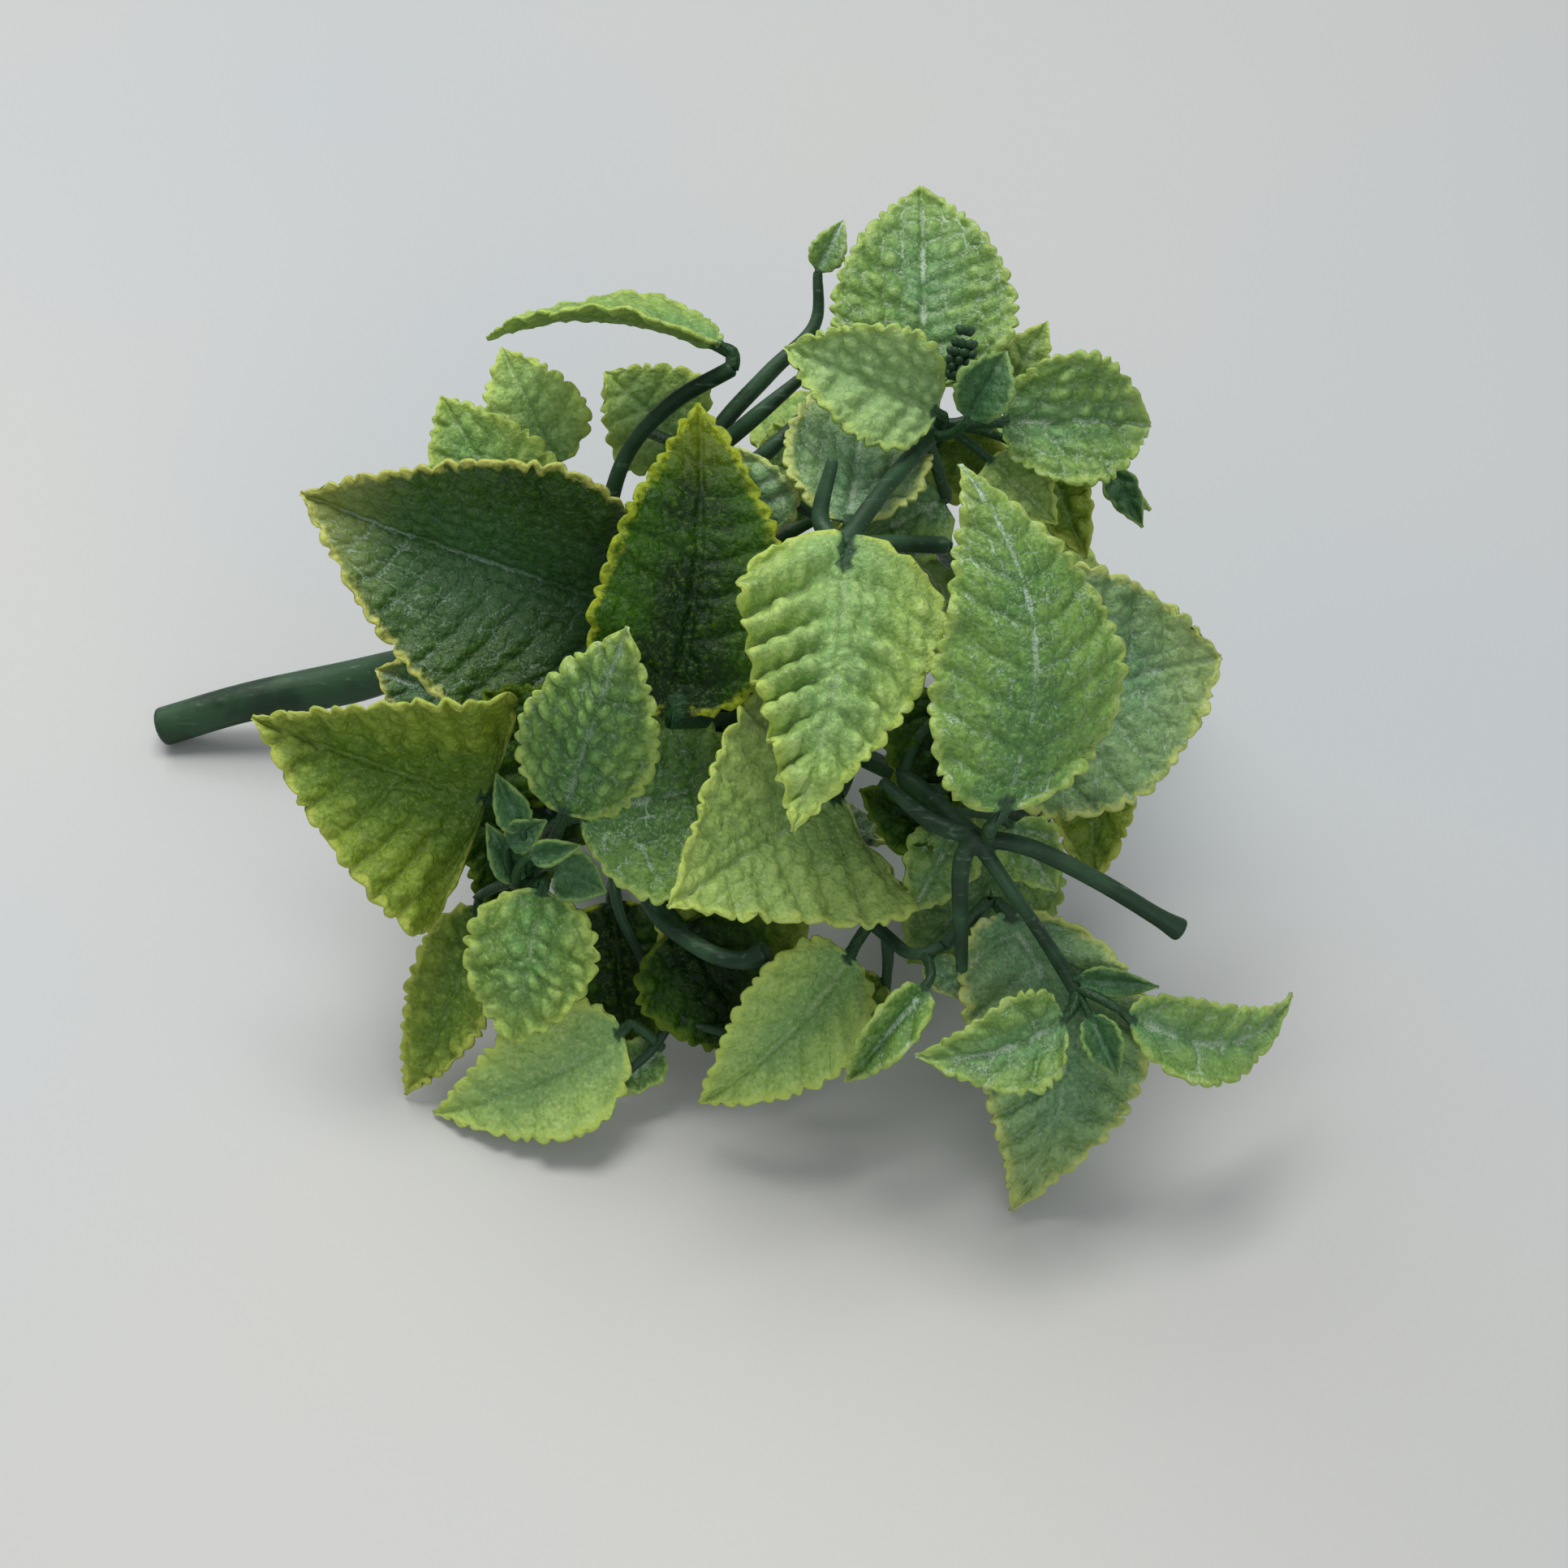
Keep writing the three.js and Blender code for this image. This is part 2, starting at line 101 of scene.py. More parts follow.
LEAVES = [
    leaf(
        "left_leaf_1", (-11, 23.5, 44.5), (-55.5, 30.5, 58.5), 43,
        face=LEVEL, fold=34, widest=0.3, point=1.5,
    ),
    leaf("left_leaf_2", (-29, -2, 34), (-60, 2, 45), 40, face=LEVEL, fold=36, widest=0.12, point=1.25),
    leaf("left_leaf_3", (-20, -10, 39), (-11, -4, 66), 18, fold=-10, arch=0.1, widest=0.4, cup=0.1),
    leaf("left_leaf_4", (-22.5, -14, 31), (-26.5, -27, 15), 17, fold=-10, arch=0.1, widest=0.4, point=2),
    leaf("left_leaf_5", (-32, -8, 22), (-42, -24, 1), 13, face=(-1, -2, 2), fold=15, sway=0.08, widest=0.4),
    leaf("left_leaf_6", (-12, -22, 13), (-38, -27, 1), 18, fold=16, arch=0.1, sway=0.06, point=1.4),
    leaf("left_leaf_7", (-23, 47, 49), (-31, 60, 60), 15),
    leaf("left_leaf_8", (-27, 38, 44), (-39, 53, 57), 18),
    leaf("left_leaf_9", (-38, 33, 18), (-50, 38, 20), 11),
    leaf("crown_leaf_1", (-6, -5, 51), (-3, 31, 73), 25, arch=0.1, sway=-0.04, widest=0.24, lobe=0.08),
    leaf("crown_leaf_2", (26, 32, 73), (26, 59, 87), 24, fold=12, point=1.9),
    leaf("crown_leaf_3", (28, 27, 74), (8, 32, 81), 17, fold=28, arch=0.1, point=1.9),
    leaf("crown_leaf_4", (35, 27, 73), (55, 29, 71), 18, fold=24, arch=0.1, widest=0.45, point=2.2),
    leaf("crown_leaf_5", (1, 47.5, 68.5), (-32, 53, 67), 22, face=(0, 0.6, 1), arch=0.12, widest=0.4),
    leaf("crown_leaf_6", (16, 13, 67), (19, 41, 70), 19, arch=0.02, widest=0.4, point=2),
    leaf("crown_leaf_7", (-5, 54, 47), (-17, 61, 55), 17),
    leaf("crown_leaf_8", (6, 17, 62), (2, 26, 70), 11),
    leaf("crown_leaf_9", (28, 37, 62), (38, 30, 57), 12),
    leaf("crown_leaf_10", (29, 24, 63), (16.5, 19, 59), 13),
    leaf(
        "centre_leaf_1", (15, 3.5, 71), (9, -29, 56), 27,
        fold=-18, arch=0.1, sway=0.05, widest=0.2, point=1.3, lobe=0.18,
    ),
    leaf(
        "centre_leaf_2", (33, -23.5, 51.5), (29, 5, 84), 25,
        face=(0.3, -1, 1), fold=-16, arch=0.1, sway=-0.14, widest=0.34, point=1.5,
    ),
    leaf("centre_leaf_3", (15, -5, 38), (-6, -29, 43), 36, fold=15, widest=0.16, point=1.35, lobe=0.08),
    leaf("centre_leaf_4", (-19, -8, 37), (6, -3, 40), 27, fold=12, arch=0.1, widest=0.4),
    leaf("right_leaf_1", (27, -2, 48), (64, 8, 50), 32, arch=0.1, widest=0.4, point=2),
    leaf("right_leaf_2", (34, -20, 35), (37, -43, 1), 23, arch=0.08, sway=0.18, widest=0.35, point=1.7),
    leaf("right_leaf_3", (49, -34, 30), (73, -23, 20), 11, fold=15, arch=0.1, sway=-0.18, point=1.5),
    leaf("right_leaf_4", (43, -34, 29), (24, -39, 27), 13, fold=24, arch=0.1, sway=0.1, point=1.4),
    leaf("right_leaf_5", (47, 0, 42), (47.5, -13, 29.5), 12, fold=20),
    leaf("right_leaf_6", (34, 26, 68), (43, 20, 62), 10, fold=20),
    leaf("right_leaf_7", (42, 27, 65), (47, 19, 57), 8, fold=20),
    leaf("right_leaf_8", (33, 22, 52), (54, 24, 38), 22, face=(3, -1, 3), arch=0.1),
    leaf("right_leaf_9", (34, 6, 40), (52, 14, 20), 22, face=(4, -1, 2), arch=0.1),
    leaf("low_leaf_1", (17, -20, 26), (-3, -31.5, 8.5), 18, fold=28, arch=0.1, sway=0.06),
    leaf("low_leaf_2", (26, -29.5, 30), (15.5, -35.5, 17.5), 8, fold=40, arch=0.2),
    leaf("low_leaf_3", (-5, -17.5, 14), (9, -5, 24), 21, widest=0.4, point=2),
    leaf("low_leaf_4", (-15, -3, 17), (-12, -22, 3), 19, widest=0.4),
    leaf("low_leaf_5", (42, -2, 30), (24, -15, 17), 19, widest=0.4, point=2),
    leaf("low_leaf_6", (32, -1, 36), (19, -6, 32), 13),
    leaf("back_leaf_1", (4, 42, 42), (-3, 67, 26), 21, face=(-2, 5, 6), arch=0.1),
    leaf("back_leaf_2", (12, 48, 46), (14, 71, 44), 19, face=(0, 2, 6), arch=0.1),
    leaf("back_leaf_3", (21, 51, 42), (36, 68, 26), 22, face=(2, 4, 5), arch=0.1),
    leaf("back_leaf_4", (34, 51, 50), (59, 47, 42), 20, face=(3, 3, 5), arch=0.1),
    leaf("back_leaf_5", (24, 43, 40), (44, 40, 1), 22, face=(3, 5, 3), arch=0.1),
    leaf("back_leaf_6", (-6, 36, 38), (-32, 60, 20), 20, face=(-3, 4, 5), arch=0.1),
    leaf("back_leaf_7", (-22, 44, 30), (-40, 60, 8), 19, face=(-3, 5, 4), arch=0.1),
    leaf("under_leaf_1", (-10, 8, 22), (-22, 24, 3), 18, face=(-3, -3, -3), arch=0.1),
    leaf("under_leaf_2", (18, -2, 26), (30, 14, 3), 20, face=(2, 3, -2), arch=0.1),
    leaf("crown_bud_leaf", (31, 24, 75.5), (36, 30, 82), 9, fold=35, arch=0.1, widest=0.4),
    leaf("right_bud_leaf", (45.5, -34, 29), (49, -40, 24), 6, fold=35, arch=0.1, widest=0.4),
]

# Small leaves moulded with the branches' ends, which the CAD model has in the branches' own solids.
BRACTS = [
    leaf("upper_bract", (44, -30.5, 31.5), (54.4, -30.5, 30), 4, fold=20),
    leaf("left_bract", (-25.5, -12.5, 29.5), (-30, -8, 36), 5, fold=20),
    leaf("crown_bract", (12.5, 55, 76), (16, 60, 81), 5, fold=20, arch=0.1),
]

# More small leaves deep in the sprig, and the rosette of young leaves at its left end.
INNER_LEAVES = [
    leaf("inner_leaf_1", (-18, 0.5, 35.5), (-31, 8.5, 43.5), 17),
    leaf("inner_leaf_2", (12.5, 32, 53), (6.5, 41, 62), 15),
    leaf("inner_leaf_3", (-8, -22, 8.5), (-15.5, -27, 4.5), 7),
    leaf("inner_leaf_4", (21, -20, 19.5), (12.5, -24.5, 14.5), 8, fold=25),
    leaf("inner_leaf_11", (20.5, -21, 14), (7, -25, 10), 7, fold=30),
    leaf("inner_leaf_5", (37, 38.5, 69), (42.5, 45, 75.5), 7),
    leaf("inner_leaf_6", (50, 29, 64), (54.5, 23.5, 58.5), 5, fold=25),
    leaf("inner_leaf_7", (26.5, -25, 29.5), (30, -29, 26), 5),
    leaf("inner_leaf_8", (28.5, -11.5, 37.5), (17.5, -7.5, 41.5), 10),
    leaf("inner_leaf_9", (30, -11, 38), (24, -19, 31), 10),
    leaf("inner_leaf_10", (36, -14, 42), (42, -20, 36), 9),
    leaf("inner_leaf_12", (-24, 10, 30), (-31, -6, 15), 18),
    leaf("inner_leaf_13", (30, 2, 50), (25, -11, 38), 16),
    leaf("inner_leaf_14", (-6, -12, 22), (6, -24, 8), 20),
    leaf("inner_leaf_15", (-4, 8, 46), (-1, -3, 36), 18),
    leaf("inner_leaf_16", (-16, 26, 34), (-20, 14, 16), 16, face=(-3, 0, 1)),
    leaf("inner_leaf_17", (2, 14, 38), (-6, 6, 22), 16, face=(-3, -1, 1)),
    leaf("inner_leaf_18", (20, 44, 45), (6, 34, 30), 16, face=(-1, 2, 3)),
    leaf("young_leaf_1", (-25, -11, 37), (-28.5, -5.5, 42.5), 5, fold=25),
    leaf("young_leaf_2", (-27, -11.5, 35.5), (-22, -10, 38.5), 5, fold=25),
    leaf("young_leaf_3", (-24, -14.5, 36.5), (-17.5, -14, 38), 4, fold=30),
    leaf("young_leaf_4", (-21, -13, 33), (-14.5, -15.5, 31), 7, fold=15),
]

# How a leaf looks: its colours, the height of its quilting, pleats and wavy rim, and its teeth, all in mm.
# lopsided makes the pleats taller on one half than on the other.
PLAIN_LOOK = dict(tone="fresh", bumps=0.5, pleats=0.2, wave=0.5, teeth=2.3, lopsided=0.0)
LOOKS = {
    "left_leaf_1": dict(tone="deep", bumps=0.3, pleats=0.2, wave=0.8, teeth=3.0),
    "left_leaf_2": dict(tone="olive", bumps=0.4, pleats=0.6, teeth=3.0),
    "left_leaf_3": dict(tone="jade", bumps=1.0, teeth=2.5),
    "left_leaf_4": dict(bumps=1.1, teeth=2.5),
    "left_leaf_5": dict(tone="olive", teeth=2.0),
    "left_leaf_6": dict(tone="fresh_in_painted_light", bumps=0.18, pleats=0.25),
    "left_leaf_7": dict(tone="fresh_in_painted_light", bumps=0.4),
    "left_leaf_8": dict(bumps=0.4),
    "left_leaf_9": dict(tone="deep"),
    "crown_leaf_1": dict(tone="dark_olive_in_painted_shade", bumps=0.25, wave=0.9, teeth=2.8),
    "crown_leaf_2": dict(tone="frosted", bumps=0.7, teeth=2.2),
    "crown_leaf_3": dict(tone="pale", bumps=0.7, pleats=0.35, teeth=1.9),
    "crown_leaf_4": dict(tone="frosted", bumps=0.75, teeth=2.0),
    "crown_leaf_5": dict(bumps=0.35),
    "crown_leaf_6": dict(tone="blue"),
    "crown_leaf_7": dict(tone="fresh_in_painted_light", bumps=0.15),
    "crown_leaf_8": dict(tone="blue"),
    "crown_leaf_9": dict(tone="olive"),
    "crown_leaf_10": dict(tone="frosted"),
    "centre_leaf_1": dict(tone="fresh_in_painted_light", bumps=0.6, pleats=1.0, wave=0.9, teeth=2.7, lopsided=-0.6),
    "centre_leaf_2": dict(tone="jade", bumps=0.25, wave=0.8, teeth=2.4),
    "centre_leaf_3": dict(tone="lime", bumps=0.4, pleats=0.4, wave=0.8, teeth=2.6),
    "centre_leaf_4": dict(tone="jade", bumps=0.4),
    "right_leaf_1": dict(tone="blue", bumps=0.45, pleats=0.4, wave=0.9, teeth=2.6),
    "right_leaf_2": dict(tone="blue", bumps=0.3, pleats=0.6, wave=0.7),
    "right_leaf_3": dict(tone="frosted", bumps=0.3),
    "right_leaf_4": dict(tone="frosted", bumps=0.35, pleats=0.3, teeth=1.8),
    "right_leaf_5": dict(tone="olive"),
    "right_leaf_6": dict(tone="lime"),
    "right_leaf_7": dict(tone="olive", pleats=0.4),
    "right_leaf_8": dict(tone="lime"),
    "right_leaf_9": dict(tone="olive"),
    "low_leaf_1": dict(tone="fresh_in_painted_light", bumps=0.2, pleats=0.35),
    "low_leaf_2": dict(tone="jade", bumps=0.2),
    "low_leaf_3": dict(tone="olive"),
    "low_leaf_4": dict(tone="dark_olive_in_painted_shade"),
    "low_leaf_5": dict(tone="frosted"),
    "low_leaf_6": dict(tone="blue"),
    "back_leaf_1": dict(tone="blue"),
    "back_leaf_3": dict(tone="jade"),
    "back_leaf_4": dict(tone="frosted"),
    "back_leaf_6": dict(tone="frosted"),
    "back_leaf_7": dict(tone="blue"),
    "under_leaf_1": dict(tone="olive"),
    "under_leaf_2": dict(tone="deep"),
    "crown_bud_leaf": dict(tone="bud", bumps=0.1, pleats=0.0, wave=0.1, teeth=1.6),
    "right_bud_leaf": dict(tone="bud", bumps=0.1, pleats=0.0, wave=0.1, teeth=1.6),
    **{f"inner_leaf_{n}": dict(tone="shade") for n in (1, 8, 12, 13, 14, 15, 16, 17)},
    "inner_leaf_3": dict(tone="frosted"),
    "inner_leaf_4": dict(tone="olive"),
    "inner_leaf_5": dict(tone="lime"),
    "inner_leaf_6": dict(tone="bud"),
    "inner_leaf_7": dict(tone="blue"),
    "inner_leaf_9": dict(tone="frosted"),
    "inner_leaf_10": dict(tone="frosted"),
    "inner_leaf_18": dict(tone="olive"),
    "crown_bract": dict(tone="frosted"),
}
YOUNG_LOOK = dict(tone="bud", bumps=0.12, pleats=0.0, wave=0.15, teeth=1.5)

# The stem and the branches: each tube is a list of (x, y, z, radius) on its centre line.
BRANCHES = {
    "main_stem": [
        [
            (-83, 44, 3.1, STEM_RADIUS),
            (-70.5, 45, 7, STEM_RADIUS),
            (-55.5, 46, 10, 3.2),
            (-43, 43, 17, 2.6),
            (-28, 34, 28, 2.4),
            (-14, 24, 37, 2.2),
        ],
    ],
    "front_branch": [
        [(-10, 20, 37.5, BRANCH_RADIUS), (5, 8, 40, BRANCH_RADIUS), (22, -6, 43, 1.3), (31, -22, 48, 1.3)],
        [
            (31, -22, 48, 1.1),
            (38, -23, 47, TWIG_RADIUS),
            (46, -26, 44.5, TWIG_RADIUS),
            (53, -29, 41.5, TWIG_RADIUS),
            (56, -30, 40, PEG_TIP_RADIUS),
        ],
        [(31, -22, 48, 1.1), (29.5, -24.5, 44.5, TWIG_RADIUS), (30, -29, 31.5, 0.8)],
        [(31, -22, 48, 1.1), (36, -26, 42, 0.9), (40, -28, 36, 0.9), (44, -30.5, 30, 1.1)],
        [(31, -22, 48, 1.1), (26, -19, 47.5, TWIG_RADIUS), (20, -15.5, 51, 0.7)],
    ],
    "upper_branch": [
        [(-11, 22, 41, BRANCH_RADIUS), (2, 15, 57, 1.4), (15, 6, 70, 1.3)],
        [(15, 6, 70, 1.2), (21, 17, 71, TWIG_RADIUS), (28, 29, 71, 1.2)],
        [(15, 6, 70, 1.2), (21, 8, 69, TWIG_RADIUS), (28, 10, 67, TWIG_RADIUS)],
        [(15, 6, 70, 1.2), (12.5, 10.5, 71, TWIG_RADIUS), (14, 15.5, 76, 0.8)],
    ],
    "top_branch": [
        [
            (-12, 28, 41.5, BRANCH_RADIUS),
            (-6, 34, 53, 1.4),
            (-1, 40, 61, 1.2),
            (6, 45, 67, TWIG_RADIUS),
            (12, 50, 71, 0.9),
            (12.5, 55, 76, 0.7),
        ],
        [(-3, 37.5, 58, TWIG_RADIUS), (4, 38, 65, TWIG_RADIUS), (10, 41, 69, 0.8)],
        [(-5, 35, 55, TWIG_RADIUS), (4, 30, 64, TWIG_RADIUS), (11, 34, 69, 0.8)],
    ],
    "arching_twig": [
        [
            (-18, 30.5, 39, 1.3),
            (-16, 38, 48, 1.2),
            (-13, 42, 56, 1.1),
            (-7, 45, 62, TWIG_RADIUS),
            (1, 46, 67, TWIG_RADIUS),
        ],
    ],
    "low_branch": [
        [
            (-10.5, 19, 33, BRANCH_RADIUS),
            (3, 2, 28, 1.2),
            (20, -19, 28, 0.9),
            (24, -25, 30, 0.8),
            (28, -24.5, 31, 0.7),
        ],
    ],
    "left_branch": [
        [(-19, 20, 33, BRANCH_RADIUS), (-21, 8, 31, 1.3), (-23, -6, 29, 1.2), (-26, -13, 29, TWIG_RADIUS)],
    ],
    "under_branch": [
        [
            (-15, 20, 31, BRANCH_RADIUS),
            (-14.5, 3, 24, 1.1),
            (-14, -7, 20.5, 0.8),
            (-11.5, -12, 17, 0.7),
            (-6, -21, 14, 0.7),
            (1, -23, 12, 0.6),
        ],
        [(-6, -21, 14, 0.7), (-9, -24, 10.5, 0.7), (-12, -26, 8.5, 0.6)],
    ],
    "lower_peg": [
        [
            (-12, 14, 31, 1.3),
            (-10, -2, 27, 1.3),
            (-9, -14, 27, 1.2),
            (-2.5, -20.5, 26, 1.2),
            (2.5, -23, 26.5, 1.2),
            (5.5, -23, 28, PEG_TIP_RADIUS),
        ],
    ],
    "back_branch": [
        [(-11, 27, 36.5, BRANCH_RADIUS), (4, 39, 41, 1.3), (18, 46, 45, 1.1), (32, 48, 49, TWIG_RADIUS)],
    ],
}
FLOWER_BUD = [(30, 30.5, 77.5), (30.5, 32, 79.5), (31, 34, 82)]


# ---------------------------------------------------------------------------------------------------------
# Small helpers

def unit(v):
    return v / np.linalg.norm(v, axis=-1, keepdims=True)


def smooth(low, high, x):
    t = np.clip((x - low) / (high - low), 0, 1)
    return t * t * (3 - 2 * t)


STALK_SHARE = 0.07
FOOT_POWER = 2.3
FOLD_START = 0.2  # the blade is folded fully from here on


def outline(row, along):
    """A leaf's half width from its stalk (0) to its tip (1), as a share of its greatest half width."""
    blade = np.clip((along - STALK_SHARE) / (1 - STALK_SHARE), 0, 1)
    widest = row["widest"]
    foot = np.sqrt(1 - np.minimum(1, np.abs(1 - blade / widest)) ** FOOT_POWER)
    head = 1 - np.clip((blade - widest) / (1 - widest), 0, 1) ** row["point"]
    return np.where(blade < widest, foot, head)


def leaf_axes(row):
    """A leaf's length and its directions: ahead to the tip, side across and up towards the face."""
    chord = row["tip"] - row["base"]
    ahead = unit(chord)
    side = unit(np.cross(row["face"], ahead))
    return np.linalg.norm(chord), ahead, side, np.cross(ahead, side)


def origin():
    """Where the tables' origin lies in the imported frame, from the box of the first leaf's CAD solid."""
    row = LEAVES[0]
    length, ahead, side, up = leaf_axes(row)
    points = []
    for along in np.linspace(0, 1, 9):
        hump = 4 * along * (1 - along)
        reach = max(0.8 + (0.7 - 0.8) * along, 0.5 * row["width"] * float(outline(row, along)))
        fold = row["fold"] * min(1, along / FOLD_START)
        for across in (-1, -0.5, 0, 0.5, 1):
            r = reach * abs(across)
            back = row["lobe"] * abs(across) * (1 - along) ** 3 * min(1, along / STALK_SHARE)
            p = row["base"] + ahead * length * (along - back)
            p = p + up * (length * row["arch"] * hump + r * math.sin(fold) - row["cup"] * r * across**2)
            p = p + side * (length * row["sway"] * hump + np.sign(across) * r * math.cos(fold))
            points += [p, p - up * 0.8]
    return np.array(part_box(row["name"])[0]) / MM - np.min(points, axis=0)


ORIGIN = origin()


def make_object(name, points, faces):
    mesh = bpy.data.meshes.new(name)
    placed = points + ORIGIN
    placed[:, 2] = np.maximum(placed[:, 2], FLOOR_CLEARANCE)
    mesh.from_pydata((placed * MM).tolist(), [], faces.tolist())
    mesh.polygons.foreach_set("use_smooth", [True] * len(mesh.polygons))
    mesh.validate()
    ob = bpy.data.objects.new(name, mesh)
    bpy.context.scene.collection.objects.link(ob)
    return ob


def add_attribute(ob, name, values):
    layer = ob.data.attributes.new(name, "FLOAT", "POINT")
    layer.data.foreach_set("value", np.ascontiguousarray(values, np.float32))


def spline(points, steps):
    """Points on the Catmull-Rom curve through the given points, steps to each span."""
    p = np.array(points, float)
    p = np.vstack([2 * p[0] - p[1], p, 2 * p[-1] - p[-2]])
    out = []
    for a, b, c, d in zip(p, p[1:], p[2:], p[3:]):
        t = np.linspace(0, 1, steps, endpoint=False)[:, None]
        bend = (2 * a - 5 * b + 4 * c - d) * t**2 + (3 * b - a - 3 * c + d) * t**3
        out.append(0.5 * (2 * b + (c - a) * t + bend))
    out.append(p[-2][None])
    return np.vstack(out)


CENTRE_LINES = {name: [spline(tube, 12) for tube in tubes] for name, tubes in BRANCHES.items()}
TWIG_POINTS = np.vstack([line for tubes in CENTRE_LINES.values() for line in tubes])[:, :3]
STEM_POINTS = CENTRE_LINES["main_stem"][0][:, :3]


def nearest(points, to):
    return points[np.argmin(np.linalg.norm(points - to, axis=1))]


# ---------------------------------------------------------------------------------------------------------
# Leaf blades

def quilt(v, u, jitter):
    """Cells on a jittered grid: a point's distance from the cell's edge and middle, and the cell's number."""
    n = len(jitter)
    first = np.full(v.shape, 9.0)
    second = np.full(v.shape, 9.0)
    value = np.zeros(v.shape)
    for di in (-1, 0, 1):
        for dj in (-1, 0, 1):
            i = np.floor(v).astype(int) + di
            j = np.floor(u).astype(int) + dj
            near = jitter[i % n, j % n]
            d = np.hypot(i + 0.5 + near[..., 0] - v, j + 0.5 + near[..., 1] - u)
            closer = d < first
            second = np.where(closer, first, np.minimum(second, d))
            value = np.where(closer, near[..., 2], value)
            first = np.where(closer, d, first)
    return second - first, first, value


def leaf_line(row, length, ahead, side, up):
    """The leaf's centre line from the twig to the tip: its parameter, points, side and up directions."""
    count = max(14, int(length / ROW_STEP))
    t = np.linspace(0, 1, count)
    hump = (4 * t * (1 - t))[:, None]
    bow = up * row["arch"] + side * row["sway"]
    centre = row["base"] + ahead * length * t[:, None] + bow * length * hump

    start = nearest(TWIG_POINTS, row["base"])
    leave = unit(ahead + 4 * bow)
    reach = np.linalg.norm(start - row["base"])
    straight = max(0.0, float((row["base"] - start) @ leave) / (reach + 1e-6))
    knee = 0.5 * (start + row["base"]) * (1 - straight) + (row["base"] - leave * 0.5 * reach) * straight
    steps = max(4, int(reach / 0.6))
    s = np.linspace(0, 1, steps, endpoint=False)[:, None]
    stalk = (1 - s) ** 2 * start + 2 * s * (1 - s) * knee + s**2 * row["base"]
    tangent = unit(2 * (1 - s) * (knee - start) + 2 * s * (row["base"] - knee) + 1e-6 * ahead)
    stalk_side = unit(side - (tangent @ side)[:, None] * tangent)
    return (
        np.concatenate([-1 + s[:, 0], t]),
        np.vstack([stalk, centre]),
        np.vstack([stalk_side, np.repeat(side[None], count, 0)]),
        np.vstack([np.cross(tangent, stalk_side), np.repeat(up[None], count, 0)]),
    )


